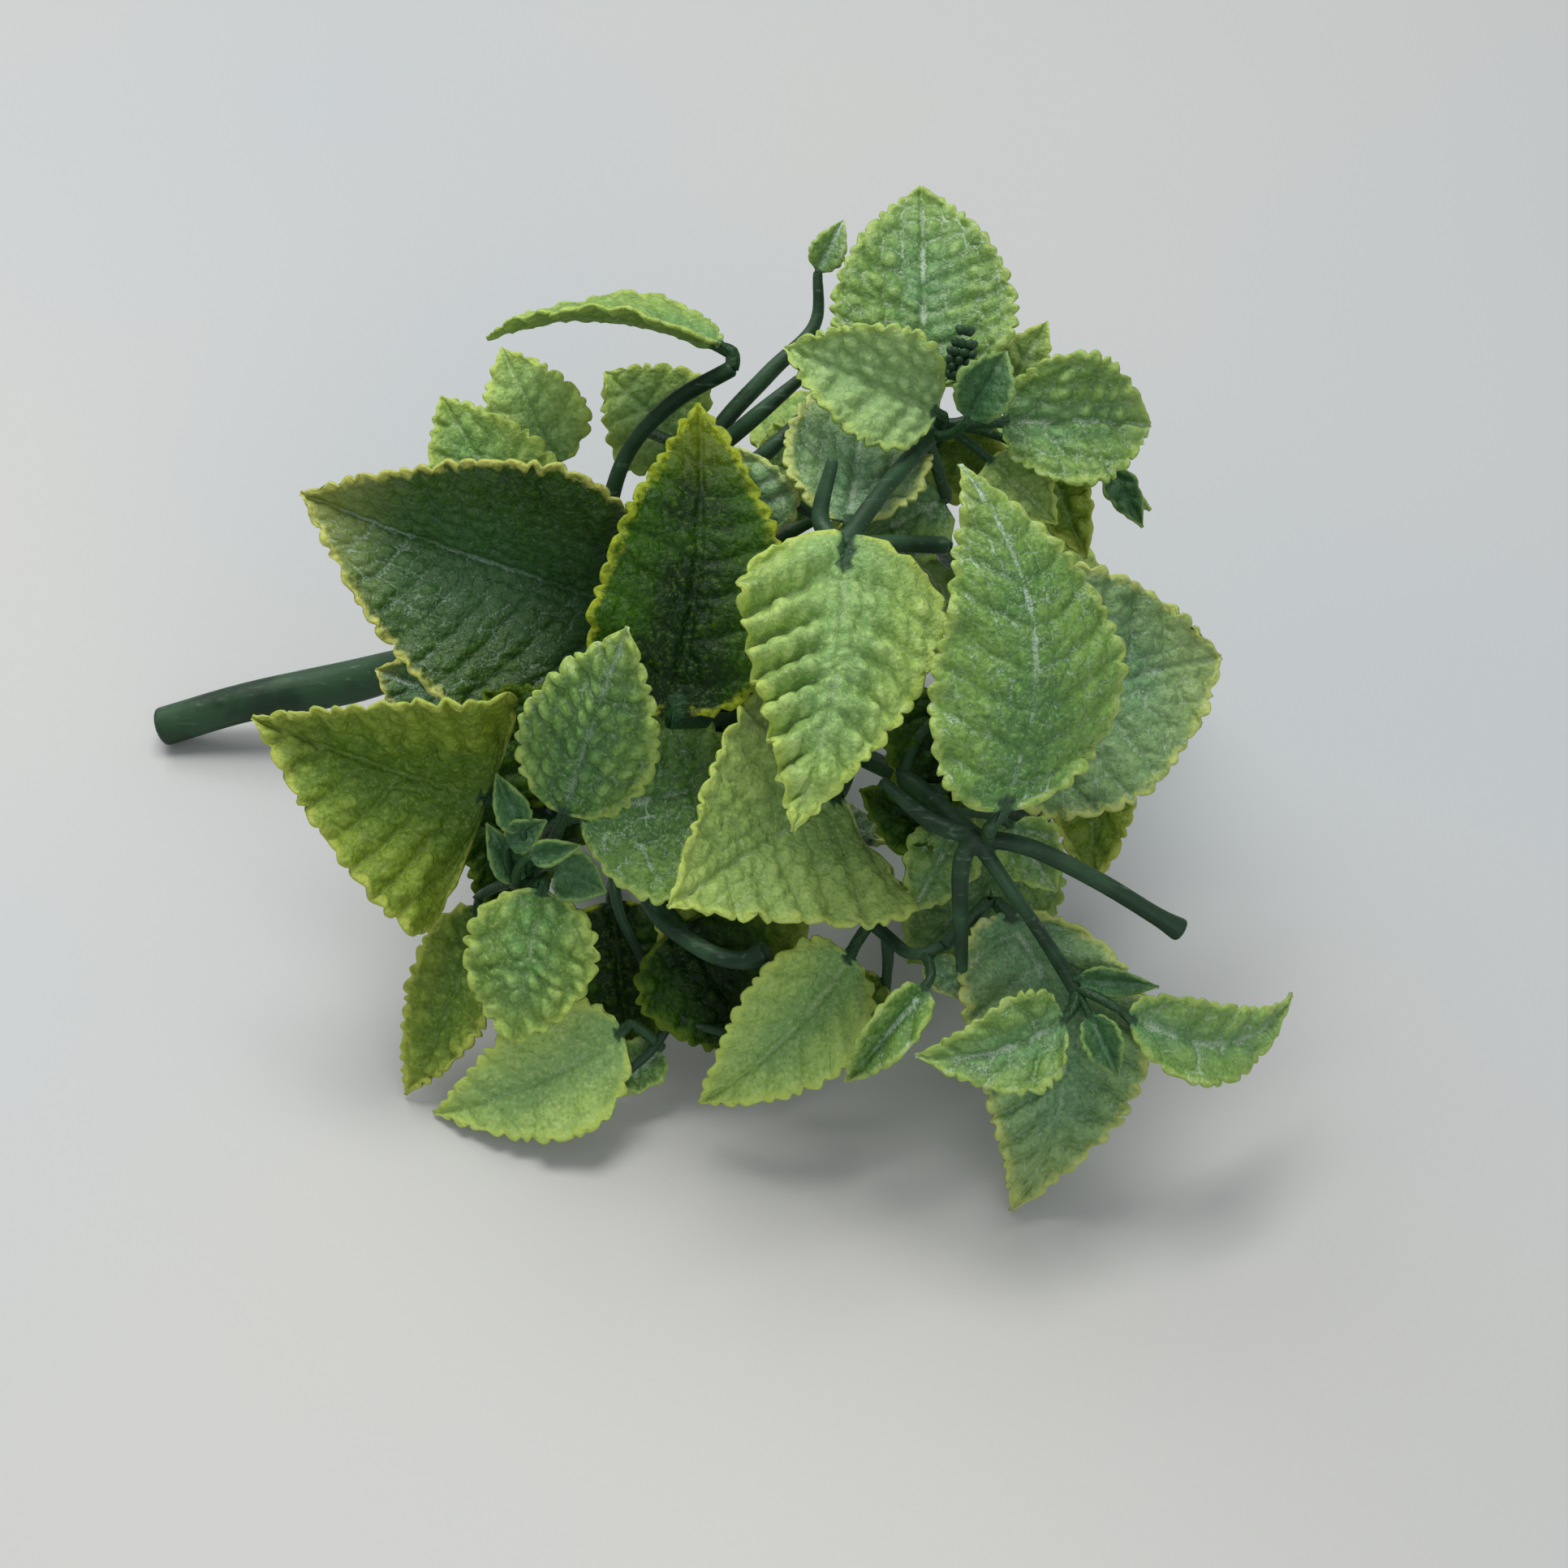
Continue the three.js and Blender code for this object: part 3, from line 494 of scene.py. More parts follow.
def build_leaf(row, look, seed):
    rng = np.random.default_rng(seed)
    length, ahead, side_way, up_way = leaf_axes(row)
    t, centre, side, up = leaf_line(row, length, ahead, side_way, up_way)
    width = row["width"]
    blade = t >= 0
    along = np.clip(t, 0, 1)
    thin = STALK_RADIUS * min(1, 0.45 + width / 40)
    half = np.where(blade, np.maximum(thin * (1 - 0.6 * along), 0.5 * width * outline(row, along)), thin)
    columns = max(12, 2 * int(width / COLUMN_STEP / 2))
    q = np.linspace(-1, 1, columns + 1)[None]
    spread = np.abs(q)
    x = q * half[:, None]
    down = along[:, None]
    # 1 on the blade and 0 on the stalk, also where the stalk runs into the foot between the lobes.
    on_lobe = smooth(1.1 * thin, 2.2 * thin, np.abs(x))
    on_blade = np.maximum(smooth(STALK_SHARE, STALK_SHARE + 0.05, down), on_lobe)

    # Veins run from the midrib forward to the rim, with two rows of quilted cells between one and the next.
    pairs = max(4, round(length / VEIN_SPACING))
    rows_between = 2 if width > 12 else 1
    sway = 0.18 * np.sin(q * 2.2 + seed) + 0.12 * np.sin(down * 9 + 2 * seed)
    sweep = 0.24 * (np.abs(x) / (0.5 * width)) ** 1.3 * min(1, width / length)
    lateral = (down - sweep) * pairs + sway
    jitter = rng.uniform(-0.3, 0.3, (16, 16, 3))
    cell_size = length / pairs / rows_between
    border, middle_of, cell = quilt(lateral * rows_between + 0.15 * np.sin(x * 1.3), x / cell_size, jitter)
    to_vein = np.abs(lateral - np.round(lateral)) * length / pairs
    crease = np.exp(-((to_vein / CREASE_WIDTH) ** 2)) * smooth(0.0, 0.12, spread)
    net = 1 - smooth(0.04, 0.22, border)
    midrib = np.exp(-((x / (0.8 - 0.45 * down)) ** 2))
    to_rim = (1 - spread) * half[:, None]
    dome = np.exp(-((middle_of / 0.4) ** 3)) * (1 - 0.5 * crease) * (0.75 + 1.2 * cell)
    wrinkle = np.sin(3.1 * x + 5 * cell + 2 * np.sin(lateral * 5)) * np.sin(lateral * 9 + 2 * cell)
    grooves = CREASE_DEPTH * crease
    relief = look["bumps"] * (dome - 0.3) - grooves - NET_DEPTH * net + WRINKLE_HEIGHT * wrinkle
    relief = relief * on_blade * smooth(0.0, 0.8, to_rim)
    relief = relief - MIDRIB_DEPTH * midrib * on_blade

    # The blade, its folded halves, its pleats between the veins and its waving rim.
    fold = (row["fold"] * np.minimum(1, along / FOLD_START))[:, None]
    rounded = np.sqrt(x**2 + 0.5**2) - 0.5
    phase = rng.uniform(0, 6.28, 4)
    side_phase = np.where(q < 0, phase[0], phase[1])
    margin = np.cumsum(np.hypot(np.gradient(half), np.gradient(along * length)))[:, None]
    waves = np.sin(margin / 2.6 + side_phase) + 0.6 * np.sin(margin / 1.1 + phase[2])
    waving = 0.7 * look["wave"] * spread**3 * waves
    pleats = -look["pleats"] * np.cos(2 * np.pi * lateral) * smooth(0.05, 0.4, spread)
    pleats = pleats * (1 + look["lopsided"] * np.sign(q) * spread)
    curl = row["cup"] * half[:, None] * spread**3
    lift = rounded * np.sin(fold) - curl + (waving + pleats) * on_blade * smooth(0, 4, half[:, None])
    back = row["lobe"] * length * spread * (1 - down) ** 3 * np.minimum(1, down / STALK_SHARE)

    # Rounded teeth along the rim, pushed out at right angles to it.
    slope_x = np.gradient(along * length)
    slope_h = np.gradient(half)
    size = np.hypot(slope_x, slope_h) + 1e-9
    uneven = margin + 0.4 * np.sin(margin * 0.7 + phase[2]) + 0.3 * np.sin(margin * 1.7 + phase[3])
    scallop = np.abs(np.sin(np.pi * uneven / look["teeth"] + side_phase)) ** 0.75
    depth = TOOTH_DEPTH * min(1, width / 14) * (0.85 + 0.3 * np.sin(margin * 0.45 + phase[3]))
    near_rim = smooth(0.82, 1.0, spread) * smooth(0.4, 2.5, half[:, None])
    push = depth * (scallop - 0.55) * near_rim * on_blade
    forward = push * (-slope_h / size)[:, None]
    outward = push * (slope_x / size)[:, None] * np.sign(q)
    bead = 0.25 * scallop * np.exp(-(((to_rim - 0.5) / 0.5) ** 2)) * on_blade

    middle = (
        centre[:, None]
        + side[:, None] * (x * np.cos(fold) + outward)[..., None]
        + up[:, None] * lift[..., None]
        + ahead * (forward - back)[..., None]
    )
    normal = unit(np.cross(np.gradient(middle, axis=0), np.gradient(middle, axis=1)) + 1e-9 * up[:, None])

    # The stalk is round and runs on under the blade as the midrib.
    stalk = np.where(blade, 1 - smooth(0.0, 0.12, along), 1.0)[:, None]
    rib = thin * np.where(blade, 0.9 * (1 - along) ** 0.7, 1.0)[:, None]
    above = stalk * np.sqrt(np.maximum(0, thin**2 - x**2))
    below = np.sqrt(np.maximum(0, rib**2 - x**2)) + CREASE_DEPTH * crease * on_blade * (1 - stalk)
    sheet = 0.5 * (RIM_THICKNESS + (BLADE_THICKNESS - RIM_THICKNESS) * smooth(0, 1.2, to_rim) * on_blade)
    top = middle + normal * (sheet + above + relief + bead)[..., None]
    bottom = middle - normal * (sheet + below - 0.85 * relief)[..., None]

    n_rows, n_columns = t.size, columns + 1
    at = np.arange(n_rows * n_columns).reshape(n_rows, n_columns)
    under = at + at.size
    upper = np.stack([at[:-1, :-1], at[1:, :-1], at[1:, 1:], at[:-1, 1:]], -1).reshape(-1, 4)
    lower = np.stack([under[:-1, :-1], under[:-1, 1:], under[1:, 1:], under[1:, :-1]], -1).reshape(-1, 4)
    ring = np.concatenate([at[0, :-1], at[:-1, -1], at[-1, :0:-1], at[:0:-1, 0]])
    after = np.roll(ring, -1)
    rim = np.stack([ring, after, after + at.size, ring + at.size], -1)
    ob = make_object(
        row["name"] + "_blade",
        np.vstack([top.reshape(-1, 3), bottom.reshape(-1, 3)]),
        np.vstack([upper, lower, rim]),
    )

    def both_sides(values):
        return np.tile(np.broadcast_to(values, at.shape).ravel(), 2)

    band = RIM_BAND * min(1, width / 18)
    powder = 0.35 + 0.65 * smooth(0.3, 0.85, normal[..., 2])
    add_attribute(ob, "rim", both_sides(np.clip(1 - to_rim / band, 0, 1) * on_blade))
    add_attribute(ob, "vein", both_sides(np.maximum(np.maximum(0.7 * crease, 0.8 * net), midrib) * on_blade))
    add_attribute(ob, "powder", both_sides(powder))
    # dome is 1 on the tops of the quilted bumps and 0 in their hollows; the material paints highlight on the
    # tops and shade in the hollows from it.
    shown = min(1, look["bumps"] / 0.9)
    add_attribute(ob, "dome", both_sides(0.5 + (np.clip(dome, 0, 1) * (1 - midrib) - 0.5) * shown))
    add_attribute(ob, "cell", both_sides(0.5 + cell * 1.6))
    add_attribute(ob, "core", both_sides(np.exp(-((x / (0.26 * width)) ** 2)) * (1 - 0.6 * down)))
    add_attribute(ob, "along", both_sides(down))
    add_attribute(ob, "stalk", both_sides(1 - on_blade))
    add_attribute(ob, "under", np.repeat([0.0, 1.0], at.size))
    return ob


# ---------------------------------------------------------------------------------------------------------
# Stem and branches

def tube_shell(points):
    """A closed tube through (x, y, z, radius) points, with slightly domed ends."""
    line = spline(points, 10)
    centre, radius = line[:, :3], line[:, 3]
    tangent = unit(np.gradient(centre, axis=0))
    dome = np.array([1.0, 0.85, 0.55, 0.2])
    bulge = [CAP_DOME * d for d in (0.35, 0.65, 0.88, 0.99)]
    head = [centre[-1] + tangent[-1] * radius[-1] * d for d in bulge]
    tail = [centre[0] - tangent[0] * radius[0] * d for d in bulge[::-1]]
    centre = np.vstack([tail, centre, head])
    radius = np.concatenate([radius[0] * dome[::-1], radius, radius[-1] * dome])
    tangent = np.vstack([np.repeat(tangent[:1], 4, 0), tangent, np.repeat(tangent[-1:], 4, 0)])
    normal = np.array([0.0, 0.0, 1.0])
    angle = np.linspace(0, 2 * np.pi, TUBE_SIDES, endpoint=False)[:, None]
    rings = []
    for c, r, tan in zip(centre, radius, tangent):
        normal = unit(normal - tan * (normal @ tan))
        rings.append(c + r * (np.cos(angle) * normal + np.sin(angle) * np.cross(tan, normal)))
    n = len(rings)
    index = np.arange(n * TUBE_SIDES).reshape(n, TUBE_SIDES)
    after = np.roll(index, -1, axis=1)
    sides = np.stack([index[:-1], after[:-1], after[1:], index[1:]], -1).reshape(-1, 4)
    return np.vstack(rings), sides.tolist() + [index[0][::-1].tolist(), index[-1].tolist()]


def build_branch(name, tubes):
    """Joins the tubes of one moulding into one skin, with soft hollows where they fork."""
    points, faces = [], []
    for tube in tubes:
        shell, shell_faces = tube_shell(tube)
        start = sum(len(p) for p in points)
        points.append(shell)
        faces += [[i + start for i in face] for face in shell_faces]
    mesh = bpy.data.meshes.new(name)
    mesh.from_pydata(((np.vstack(points) + ORIGIN) * MM).tolist(), [], faces)
    ob = bpy.data.objects.new(name, mesh)
    bpy.context.scene.collection.objects.link(ob)
    remesh = ob.modifiers.new("join", "REMESH")
    remesh.mode = "VOXEL"
    remesh.voxel_size = VOXEL * MM
    soften = ob.modifiers.new("soften", "SMOOTH")
    soften.factor = 0.5
    soften.iterations = 5
    graph = bpy.context.evaluated_depsgraph_get()
    joined = bpy.data.meshes.new_from_object(ob.evaluated_get(graph))
    ob.modifiers.clear()
    ob.data = joined
    bpy.data.meshes.remove(mesh)
    for vertex in joined.vertices:
        vertex.co.z = max(vertex.co.z, FLOOR_CLEARANCE * MM)
    joined.polygons.foreach_set("use_smooth", [True] * len(joined.polygons))
    return ob


def build_flower_bud(name, path, seed):
    """A short spike of small pointed beads in rings."""
    rng = np.random.default_rng(seed)
    line = spline(path, 8)
    tangent = unit(np.gradient(line, axis=0))
    points, faces = [], []
    for ring in range(6):
        share = ring / 5
        k = int(share * (len(line) - 1))
        count = 7 if ring < 5 else 3
        girth = 1.35 * math.sin(math.pi * (0.25 + 0.6 * share))
        normal = unit(np.cross(tangent[k], (1.0, 0.2, 0.0)))
        for b in range(count):
            angle = 2 * math.pi * (b + 0.5 * ring) / count + rng.uniform(-0.1, 0.1)
            out = normal * math.cos(angle) + np.cross(tangent[k], normal) * math.sin(angle)
            add_bead(points, faces, line[k] + out * girth, unit(out + 0.8 * tangent[k]), 0.62)
    return make_object(name, np.vstack(points), np.array(faces))


def add_bead(points, faces, centre, axis, radius):
    """One bead: a ball drawn out to a point along its axis."""
    start = sum(len(p) for p in points)
    normal = unit(np.cross(axis, (0.3, 0.9, 0.4)))
    other = np.cross(axis, normal)
    rings, sides = 7, 10
    angle = np.linspace(0, 2 * np.pi, sides, endpoint=False)[:, None]
    for i in range(rings):
        tilt = math.pi * (i + 0.35) / (rings - 0.3)
        r = radius * math.sin(tilt)
        h = -radius * math.cos(tilt) * (1.5 if tilt > math.pi / 2 else 0.9)
        points.append(centre + axis * h + r * (np.cos(angle) * normal + np.sin(angle) * other))
    for i in range(rings - 1):
        for j in range(sides):
            k = (j + 1) % sides
            a, b = start + i * sides, start + (i + 1) * sides
            faces.append([a + j, a + k, b + k, b + j])
    for ring, turn in ((0, -1), (rings - 1, 1)):
        first = start + ring * sides
        loop = [first + j for j in range(sides)][::turn]
        for j in range(1, sides - 2, 2):
            faces.append([loop[0], loop[j], loop[j + 1], loop[j + 2]])


# ---------------------------------------------------------------------------------------------------------
# Materials

def paint(red, green, blue):
    """A colour given as display values from 0 to 255, in the linear values that shaders take."""
    shades = (red, green, blue)
    return tuple(((c / 255 + 0.055) / 1.055) ** 2.4 if c > 10 else c / 255 / 12.92 for c in shades)


class Shader:
    """A material whose nodes are made with short calls. Textures are in the object's own millimetres."""

    def __init__(self, name):
        self.material = bpy.data.materials.new(name)
        self.material.use_nodes = True
        self.nodes = self.material.node_tree.nodes
        self.surface = self.nodes["Principled BSDF"]

    def put(self, value, socket):
        if isinstance(value, tuple):
            socket.default_value = (*value, 1)
        elif isinstance(value, (int, float)):
            socket.default_value = value
        else:
            self.material.node_tree.links.new(value, socket)

    def noise(self, scale, detail=3.0, stretch=None):
        """Cloudy noise with scale features to the millimetre."""
        where = self.nodes.new("ShaderNodeTexCoord").outputs["Object"]
        if stretch:
            mapping = self.nodes.new("ShaderNodeMapping")
            mapping.inputs["Scale"].default_value = stretch
            self.put(where, mapping.inputs["Vector"])
            where = mapping.outputs["Vector"]
        texture = self.nodes.new("ShaderNodeTexNoise")
        texture.inputs["Scale"].default_value = scale / MM
        texture.inputs["Detail"].default_value = detail
        self.put(where, texture.inputs["Vector"])
        return texture.outputs["Fac"]

    def attribute(self, name):
        node = self.nodes.new("ShaderNodeAttribute")
        node.attribute_name = name
        return node.outputs["Fac"]

    def ramp(self, value, low, high, to_low=0.0, to_high=1.0):
        node = self.nodes.new("ShaderNodeMapRange")
        node.interpolation_type = "SMOOTHSTEP"
        ends = (("From Min", low), ("From Max", high), ("To Min", to_low), ("To Max", to_high))
        for socket, number in ends:
            node.inputs[socket].default_value = number
        self.put(value, node.inputs["Value"])
        return node.outputs["Result"]

    def combine(self, operation, a, b):
        node = self.nodes.new("ShaderNodeMath")
        node.operation = operation
        self.put(a, node.inputs[0])
        self.put(b, node.inputs[1])
        return node.outputs[0]

    def mix(self, a, b, factor):
        node = self.nodes.new("ShaderNodeMix")
        node.data_type = "RGBA"
        self.put(a, node.inputs[6])
        self.put(b, node.inputs[7])
        self.put(factor, node.inputs[0])
        return node.outputs[2]

    def bump(self, height, strength, depth):
        node = self.nodes.new("ShaderNodeBump")
        node.inputs["Strength"].default_value = strength
        node.inputs["Distance"].default_value = depth * MM
        self.put(height, node.inputs["Height"])
        self.put(node.outputs["Normal"], self.surface.inputs["Normal"])


# Each tone: a darker colour for random mottling that is also painted shade in the hollows between the bumps,
# blade, bluer middle, a painted highlight for the tops of the bumps that also makes lighter mottling, rim,
# dusted veins, and how dusty it is.
TONES = {
    "fresh": dict(
        dark_mottle_and_hollow_shade=paint(76, 112, 40), blade=paint(136, 168, 78), core=paint(100, 148, 82),
        top=paint(180, 204, 116), rim=paint(176, 198, 92), vein=paint(180, 198, 160), dust=0.5,
    ),
    # Painted light: a lighter copy of the fresh tone, for leaves that the light falls on.
    "fresh_in_painted_light": dict(
        dark_mottle_and_hollow_shade=paint(98, 132, 56), blade=paint(160, 190, 100), core=paint(128, 168, 100),
        top=paint(198, 216, 134), rim=paint(182, 202, 94), vein=paint(186, 204, 160), dust=0.5,
    ),
    "lime": dict(
        dark_mottle_and_hollow_shade=paint(88, 118, 44), blade=paint(156, 184, 96), core=paint(118, 152, 80),
        top=paint(184, 206, 120), rim=paint(184, 202, 96), vein=paint(184, 202, 156), dust=0.6,
    ),
    "frosted": dict(
        dark_mottle_and_hollow_shade=paint(66, 102, 40), blade=paint(116, 154, 70), core=paint(100, 146, 92),
        top=paint(158, 186, 104), rim=paint(158, 184, 86), vein=paint(188, 204, 180), dust=1.0,
    ),
    "jade": dict(
        dark_mottle_and_hollow_shade=paint(36, 80, 24), blade=paint(112, 152, 64), core=paint(76, 124, 56),
        top=paint(158, 192, 102), rim=paint(166, 190, 88), vein=paint(184, 206, 182), dust=1.1,
    ),
    "blue": dict(
        dark_mottle_and_hollow_shade=paint(54, 92, 48), blade=paint(126, 160, 102), core=paint(98, 142, 98),
        top=paint(152, 180, 118), rim=paint(186, 196, 104), vein=paint(182, 200, 174), dust=0.8,
    ),
    "deep": dict(
        dark_mottle_and_hollow_shade=paint(16, 48, 2), blade=paint(54, 90, 20), core=paint(66, 108, 62),
        top=paint(90, 126, 52), rim=paint(202, 202, 96), vein=paint(156, 182, 158), dust=1.0,
    ),
    "olive": dict(
        dark_mottle_and_hollow_shade=paint(62, 90, 18), blade=paint(124, 148, 42), core=paint(88, 122, 40),
        top=paint(158, 178, 74), rim=paint(178, 188, 82), vein=paint(150, 172, 110), dust=0.4,
    ),
    # The next two tones paint shade into the colour: near-black valleys and a near-black middle at the foot,
    # for leaves deep in the sprig where shade falls.
    "dark_olive_in_painted_shade": dict(
        dark_mottle_and_hollow_shade=paint(2, 30, 0), blade=paint(42, 82, 0), core=paint(0, 26, 0),
        top=paint(76, 112, 8), rim=paint(150, 164, 34), vein=paint(98, 130, 70), dust=0.12,
    ),
    "shade": dict(
        dark_mottle_and_hollow_shade=paint(2, 30, 0), blade=paint(36, 72, 0), core=paint(0, 26, 0),
        top=paint(64, 98, 6), rim=paint(84, 108, 16), vein=paint(70, 100, 50), dust=0.1,
    ),
    "pale": dict(
        dark_mottle_and_hollow_shade=paint(108, 142, 78), blade=paint(152, 184, 114), core=paint(144, 178, 118),
        top=paint(176, 204, 132), rim=paint(170, 194, 96), vein=paint(182, 200, 160), dust=0.5,
    ),
    "bud": dict(
        dark_mottle_and_hollow_shade=paint(38, 70, 38), blade=paint(62, 104, 56), core=paint(58, 100, 62),
        top=paint(88, 128, 76), rim=paint(124, 156, 84), vein=paint(126, 154, 126), dust=0.5,
    ),
}
UNDERSIDE = paint(146, 174, 84)
STALK = paint(36, 70, 38)


def leaf_material(tone):
    shader = Shader("leaf_" + tone)
    colours = TONES[tone]
    dust = colours["dust"]
    broad = shader.noise(0.1)
    patches = shader.noise(0.3, 2.0)
    fine = shader.noise(0.8)
    grain = shader.noise(3.5)
    dome = shader.attribute("dome")

    colour = shader.mix(colours["blade"], colours["dark_mottle_and_hollow_shade"], shader.ramp(broad, 0.45, 0.75, 0.0, 0.6))
    core = shader.combine("MULTIPLY", shader.attribute("core"), shader.ramp(broad, 0.25, 0.6, 0.6, 1.0))
    colour = shader.mix(colour, colours["core"], shader.ramp(core, 0.1, 0.7, 0.0, 0.9))
    # Painted shade: the hollows between the quilted bumps, where dome is low, are mixed towards the dark
    # colour.
    colour = shader.mix(colour, colours["dark_mottle_and_hollow_shade"], shader.ramp(dome, 0.0, 0.5, 0.5, 0.0))
    colour = shader.mix(colour, colours["dark_mottle_and_hollow_shade"], shader.ramp(fine, 0.5, 0.75, 0.0, 0.35))
    # Painted highlight: the tops of the quilted bumps, where dome is high, are mixed towards the lighter top
    # colour.
    bump_top_highlight = shader.combine("MULTIPLY", shader.ramp(dome, 0.35, 0.95), shader.ramp(core, 0.2, 0.8, 0.55, 0.2))
    bump_top_highlight = shader.combine("MULTIPLY", bump_top_highlight, shader.ramp(shader.attribute("cell"), 0.1, 0.9, 0.5, 1.0))
    colour = shader.mix(colour, colours["top"], bump_top_highlight)
    mottle = shader.noise(1.8, 6.0)
    colour = shader.mix(colour, colours["dark_mottle_and_hollow_shade"], shader.ramp(mottle, 0.5, 0.72, 0.0, 0.5))
    colour = shader.mix(colour, colours["top"], shader.ramp(mottle, 0.3, 0.48, 0.45, 0.0))
    colour = shader.mix(colour, colours["rim"], shader.ramp(shader.attribute("along"), 0.65, 1.0, 0.0, 0.35))
    ragged = shader.combine("ADD", shader.attribute("rim"), shader.ramp(fine, 0.3, 0.7, -0.2, 0.2))
    colour = shader.mix(colour, colours["rim"], shader.ramp(ragged, 0.42, 1.0, 0.0, 0.9))
    dusting = shader.combine("MULTIPLY", shader.attribute("vein"), shader.ramp(grain, 0.3, 0.6, 0.5, 1.0))
    dusting = shader.combine("MULTIPLY", dusting, shader.ramp(patches, 0.38, 0.58, 0.4, 1.0))
    dusting = shader.ramp(dusting, 0.3, 0.95, 0.0, 0.8 * dust)
    powder = shader.attribute("powder")
    colour = shader.mix(colour, colours["vein"], shader.combine("MULTIPLY", dusting, powder))
    specks = shader.combine("MULTIPLY", shader.ramp(fine, 0.46, 0.66), shader.ramp(grain, 0.48, 0.64))
    specks = shader.combine("MULTIPLY", specks, powder)
    colour = shader.mix(colour, colours["vein"], shader.combine("MULTIPLY", specks, 0.45 * dust))
    below = shader.mix(colour, UNDERSIDE, shader.ramp(grain, 0.3, 0.7, 0.4, 0.65))
    colour = shader.mix(colour, below, shader.attribute("under"))
    colour = shader.mix(colour, STALK, shader.ramp(shader.attribute("stalk"), 0.6, 1.0))
    shader.put(colour, shader.surface.inputs["Base Color"])

    shader.put(shader.ramp(fine, 0.3, 0.7, 0.27, 0.5), shader.surface.inputs["Roughness"])
    shader.surface.inputs["Specular IOR Level"].default_value = 0.14 + 0.26 * dust
    shader.surface.inputs["Subsurface Weight"].default_value = 0.1
    shader.surface.inputs["Subsurface Radius"].default_value = (0.7, 1.0, 0.15)
    shader.surface.inputs["Subsurface Scale"].default_value = 0.6 * MM
    shader.bump(shader.combine("ADD", mottle, shader.noise(1.2, 3.0)), 0.85, 0.3)
    return shader.material


def stem_material():
    shader = Shader("stem_plastic")
    broad = shader.noise(0.15)
    streak = shader.noise(1.2, 4.0, (0.18, 1, 1))
    grain = shader.noise(5.0)
    colour = shader.mix(paint(26, 52, 30), paint(46, 78, 50), shader.ramp(broad, 0.35, 0.65))
    colour = shader.mix(colour, paint(116, 138, 120), shader.ramp(streak, 0.58, 0.8, 0.0, 0.5))
    shader.put(colour, shader.surface.inputs["Base Color"])
    shader.put(shader.ramp(streak, 0.3, 0.7, 0.36, 0.55), shader.surface.inputs["Roughness"])
    shader.surface.inputs["Specular IOR Level"].default_value = 0.3
    shader.bump(shader.combine("MULTIPLY", streak, grain), 0.6, 0.15)
    return shader.material


def floor_material():
    shader = Shader("table_top")
    broad = shader.noise(0.004, 2.0)
    grain = shader.noise(0.8, 4.0)
    colour = shader.mix(paint(186, 190, 193), paint(194, 193, 189), shader.ramp(broad, 0.3, 0.7))
    shader.put(colour, shader.surface.inputs["Base Color"])
    shader.surface.inputs["Roughness"].default_value = 0.42
    shader.surface.inputs["Specular IOR Level"].default_value = 0.35
    shader.bump(grain, 0.15, 0.2)
    return shader.material


# ---------------------------------------------------------------------------------------------------------
# The sprig

def place(ob, node, material):
    ob.data.materials.clear()
    ob.data.materials.append(material)
    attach(ob, "root")
    if node:
        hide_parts(node)


leaf_materials = {tone: leaf_material(tone) for tone in TONES}
stem_plastic = stem_material()

for number, row in enumerate(LEAVES + BRACTS + INNER_LEAVES):
    young = row in BRACTS or row["name"].startswith("young")
    look = PLAIN_LOOK | (YOUNG_LOOK if young else {}) | LOOKS.get(row["name"], {})
    node = row["name"] if number < len(LEAVES) else None
    place(build_leaf(row, look, number + 1), node, leaf_materials[look["tone"]])

for name, tubes in BRANCHES.items():
    tubes = [list(tube) for tube in tubes]
    if name != "main_stem":
        root = nearest(STEM_POINTS, np.array(tubes[0][0][:3]))
        tubes[0].insert(0, (*root, tubes[0][0][3]))
    place(build_branch(name + "_skin", tubes), name, stem_plastic)

bud = build_flower_bud("flower_bud_beads", FLOWER_BUD, 7)
place(bud, "flower_bud", stem_plastic)


# ---------------------------------------------------------------------------------------------------------
# Table top, light and camera

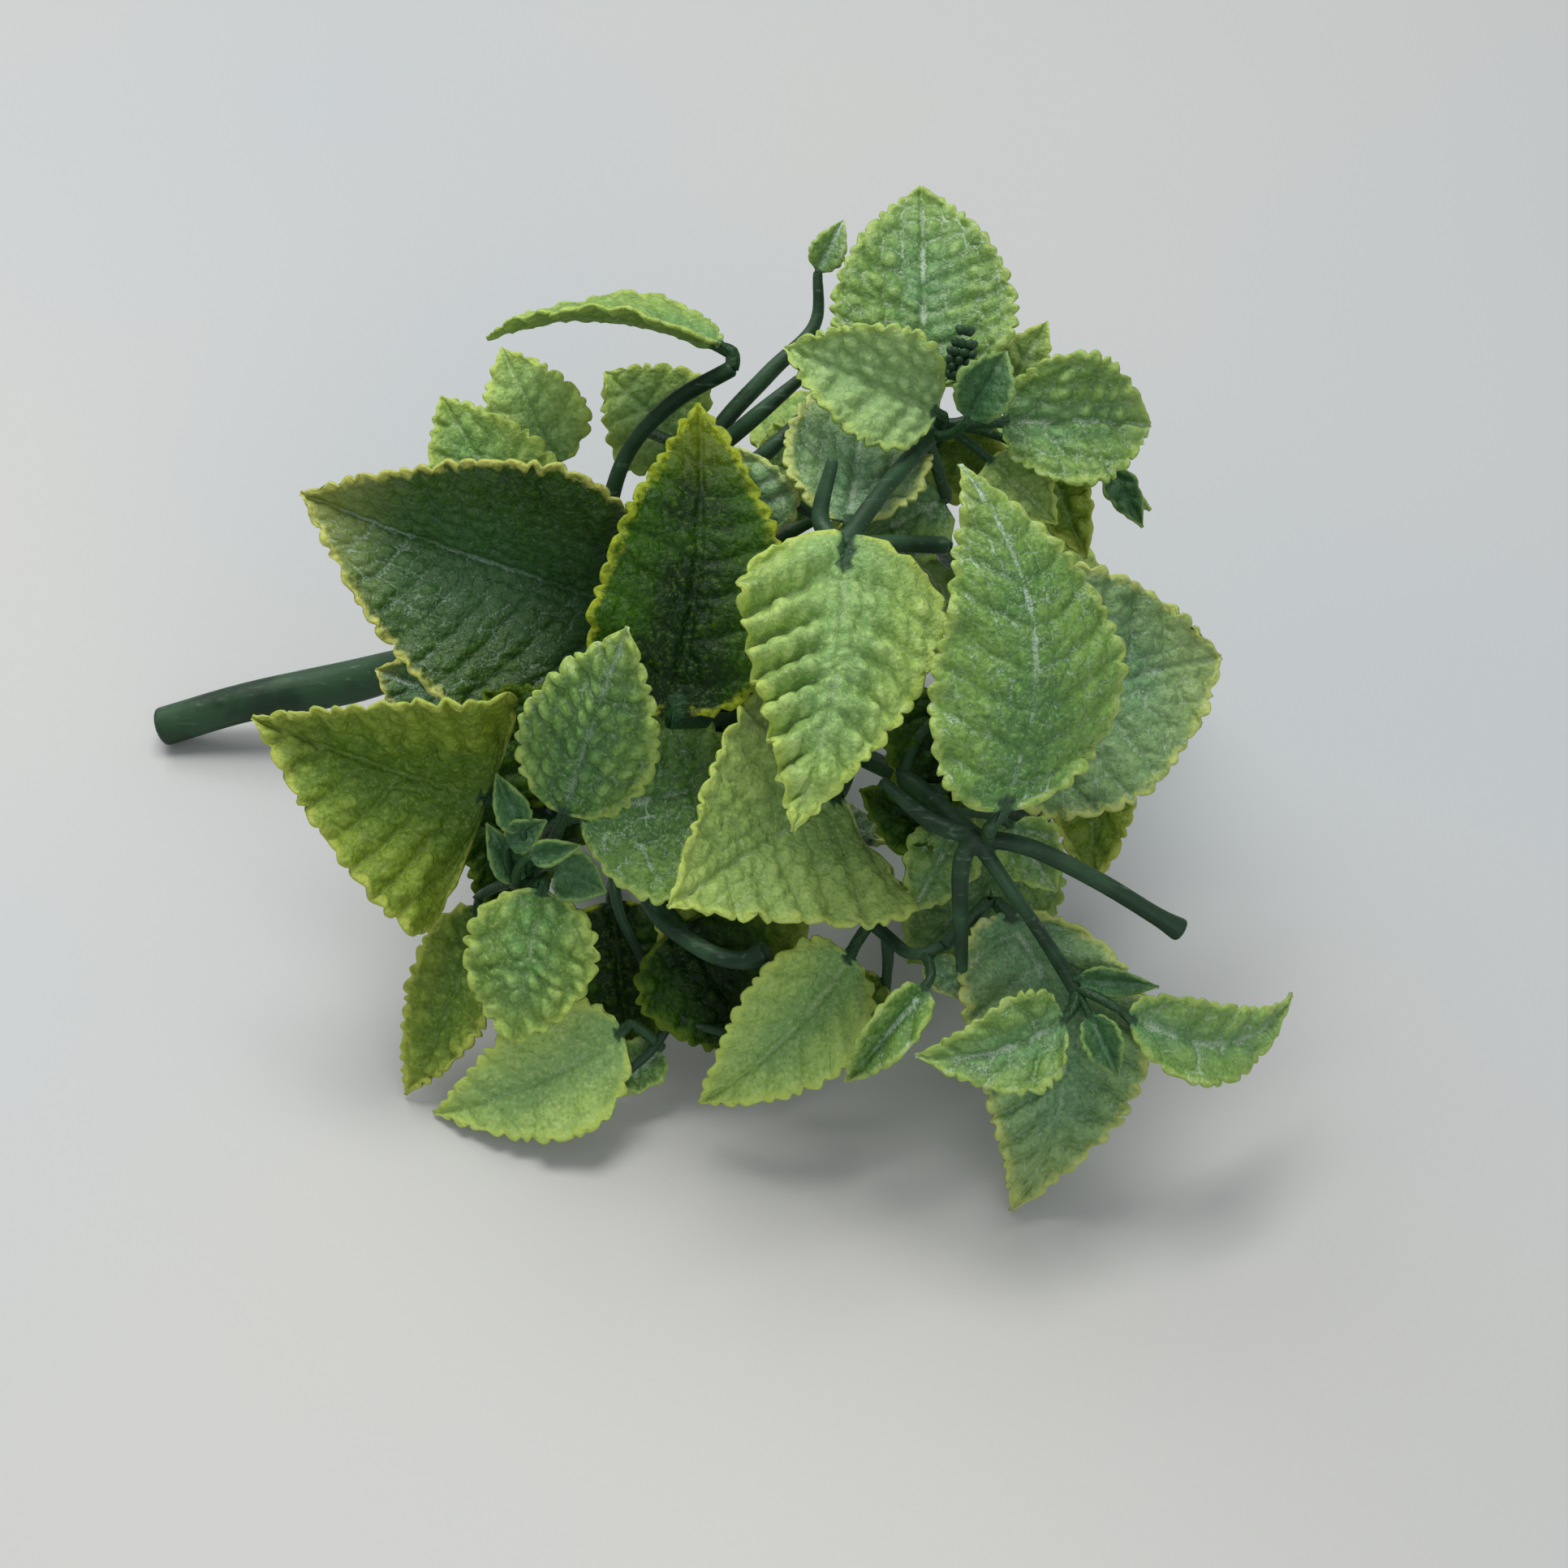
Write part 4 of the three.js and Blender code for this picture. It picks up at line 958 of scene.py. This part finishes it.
def area_light(name, location, target, size, power, colour=(1, 1, 1)):
    data = bpy.data.lights.new(name, "AREA")
    data.shape = "RECTANGLE"
    data.size, data.size_y = size
    data.energy = power
    data.color = colour
    ob = bpy.data.objects.new(name, data)
    ob.location = location
    ob.rotation_euler = (Vector(target) - Vector(location)).to_track_quat("-Z", "Y").to_euler()
    bpy.context.scene.collection.objects.link(ob)
    return ob


FLOOR_HALF = 4.0  # metres
floor_mesh = bpy.data.meshes.new("table_top")
corners = [(x, y, 0) for x, y in ((-1, -1), (1, -1), (1, 1), (-1, 1))]
floor_mesh.from_pydata([tuple(FLOOR_HALF * c for c in corner) for corner in corners], [], [(0, 1, 2, 3)])
floor = bpy.data.objects.new("table_top", floor_mesh)
floor_mesh.materials.append(floor_material())
bpy.context.scene.collection.objects.link(floor)

AIM = (8, 0, 35)  # what the camera looks at, in the sprig's own millimetres
aim = Vector((np.array(AIM) + ORIGIN) * MM)
area_light("ceiling_panel", aim + Vector((-0.1, 0.22, 0.8)), aim, (0.5, 0.35), 4.5, (1.0, 0.99, 0.96))
area_light("far_panel", aim + Vector((-0.45, 0.6, 0.65)), aim, (0.5, 0.4), 2.2, (1.0, 1.0, 0.98))
area_light("front_fill", aim + Vector((0.3, -0.9, 0.6)), aim, (0.8, 0.8), 2.6, (0.96, 0.98, 1.0))

world = bpy.data.worlds.new("room")
world.use_nodes = True
world.node_tree.nodes["Background"].inputs["Color"].default_value = (0.9, 0.95, 1.0, 1)
world.node_tree.nodes["Background"].inputs["Strength"].default_value = 0.4
bpy.context.scene.world = world
bpy.context.scene.view_settings.view_transform = "Standard"

CAMERA_DISTANCE = 0.395
CAMERA_TILT = math.radians(45)
camera = bpy.data.objects.new("camera", bpy.data.cameras.new("camera"))
camera.data.lens = 70
camera.data.sensor_width = 36
back = Vector((0, -math.cos(CAMERA_TILT), math.sin(CAMERA_TILT)))
camera.location = aim + back * CAMERA_DISTANCE
camera.rotation_euler = (-back).to_track_quat("-Z", "Y").to_euler()
bpy.context.scene.collection.objects.link(camera)
bpy.context.scene.camera = camera
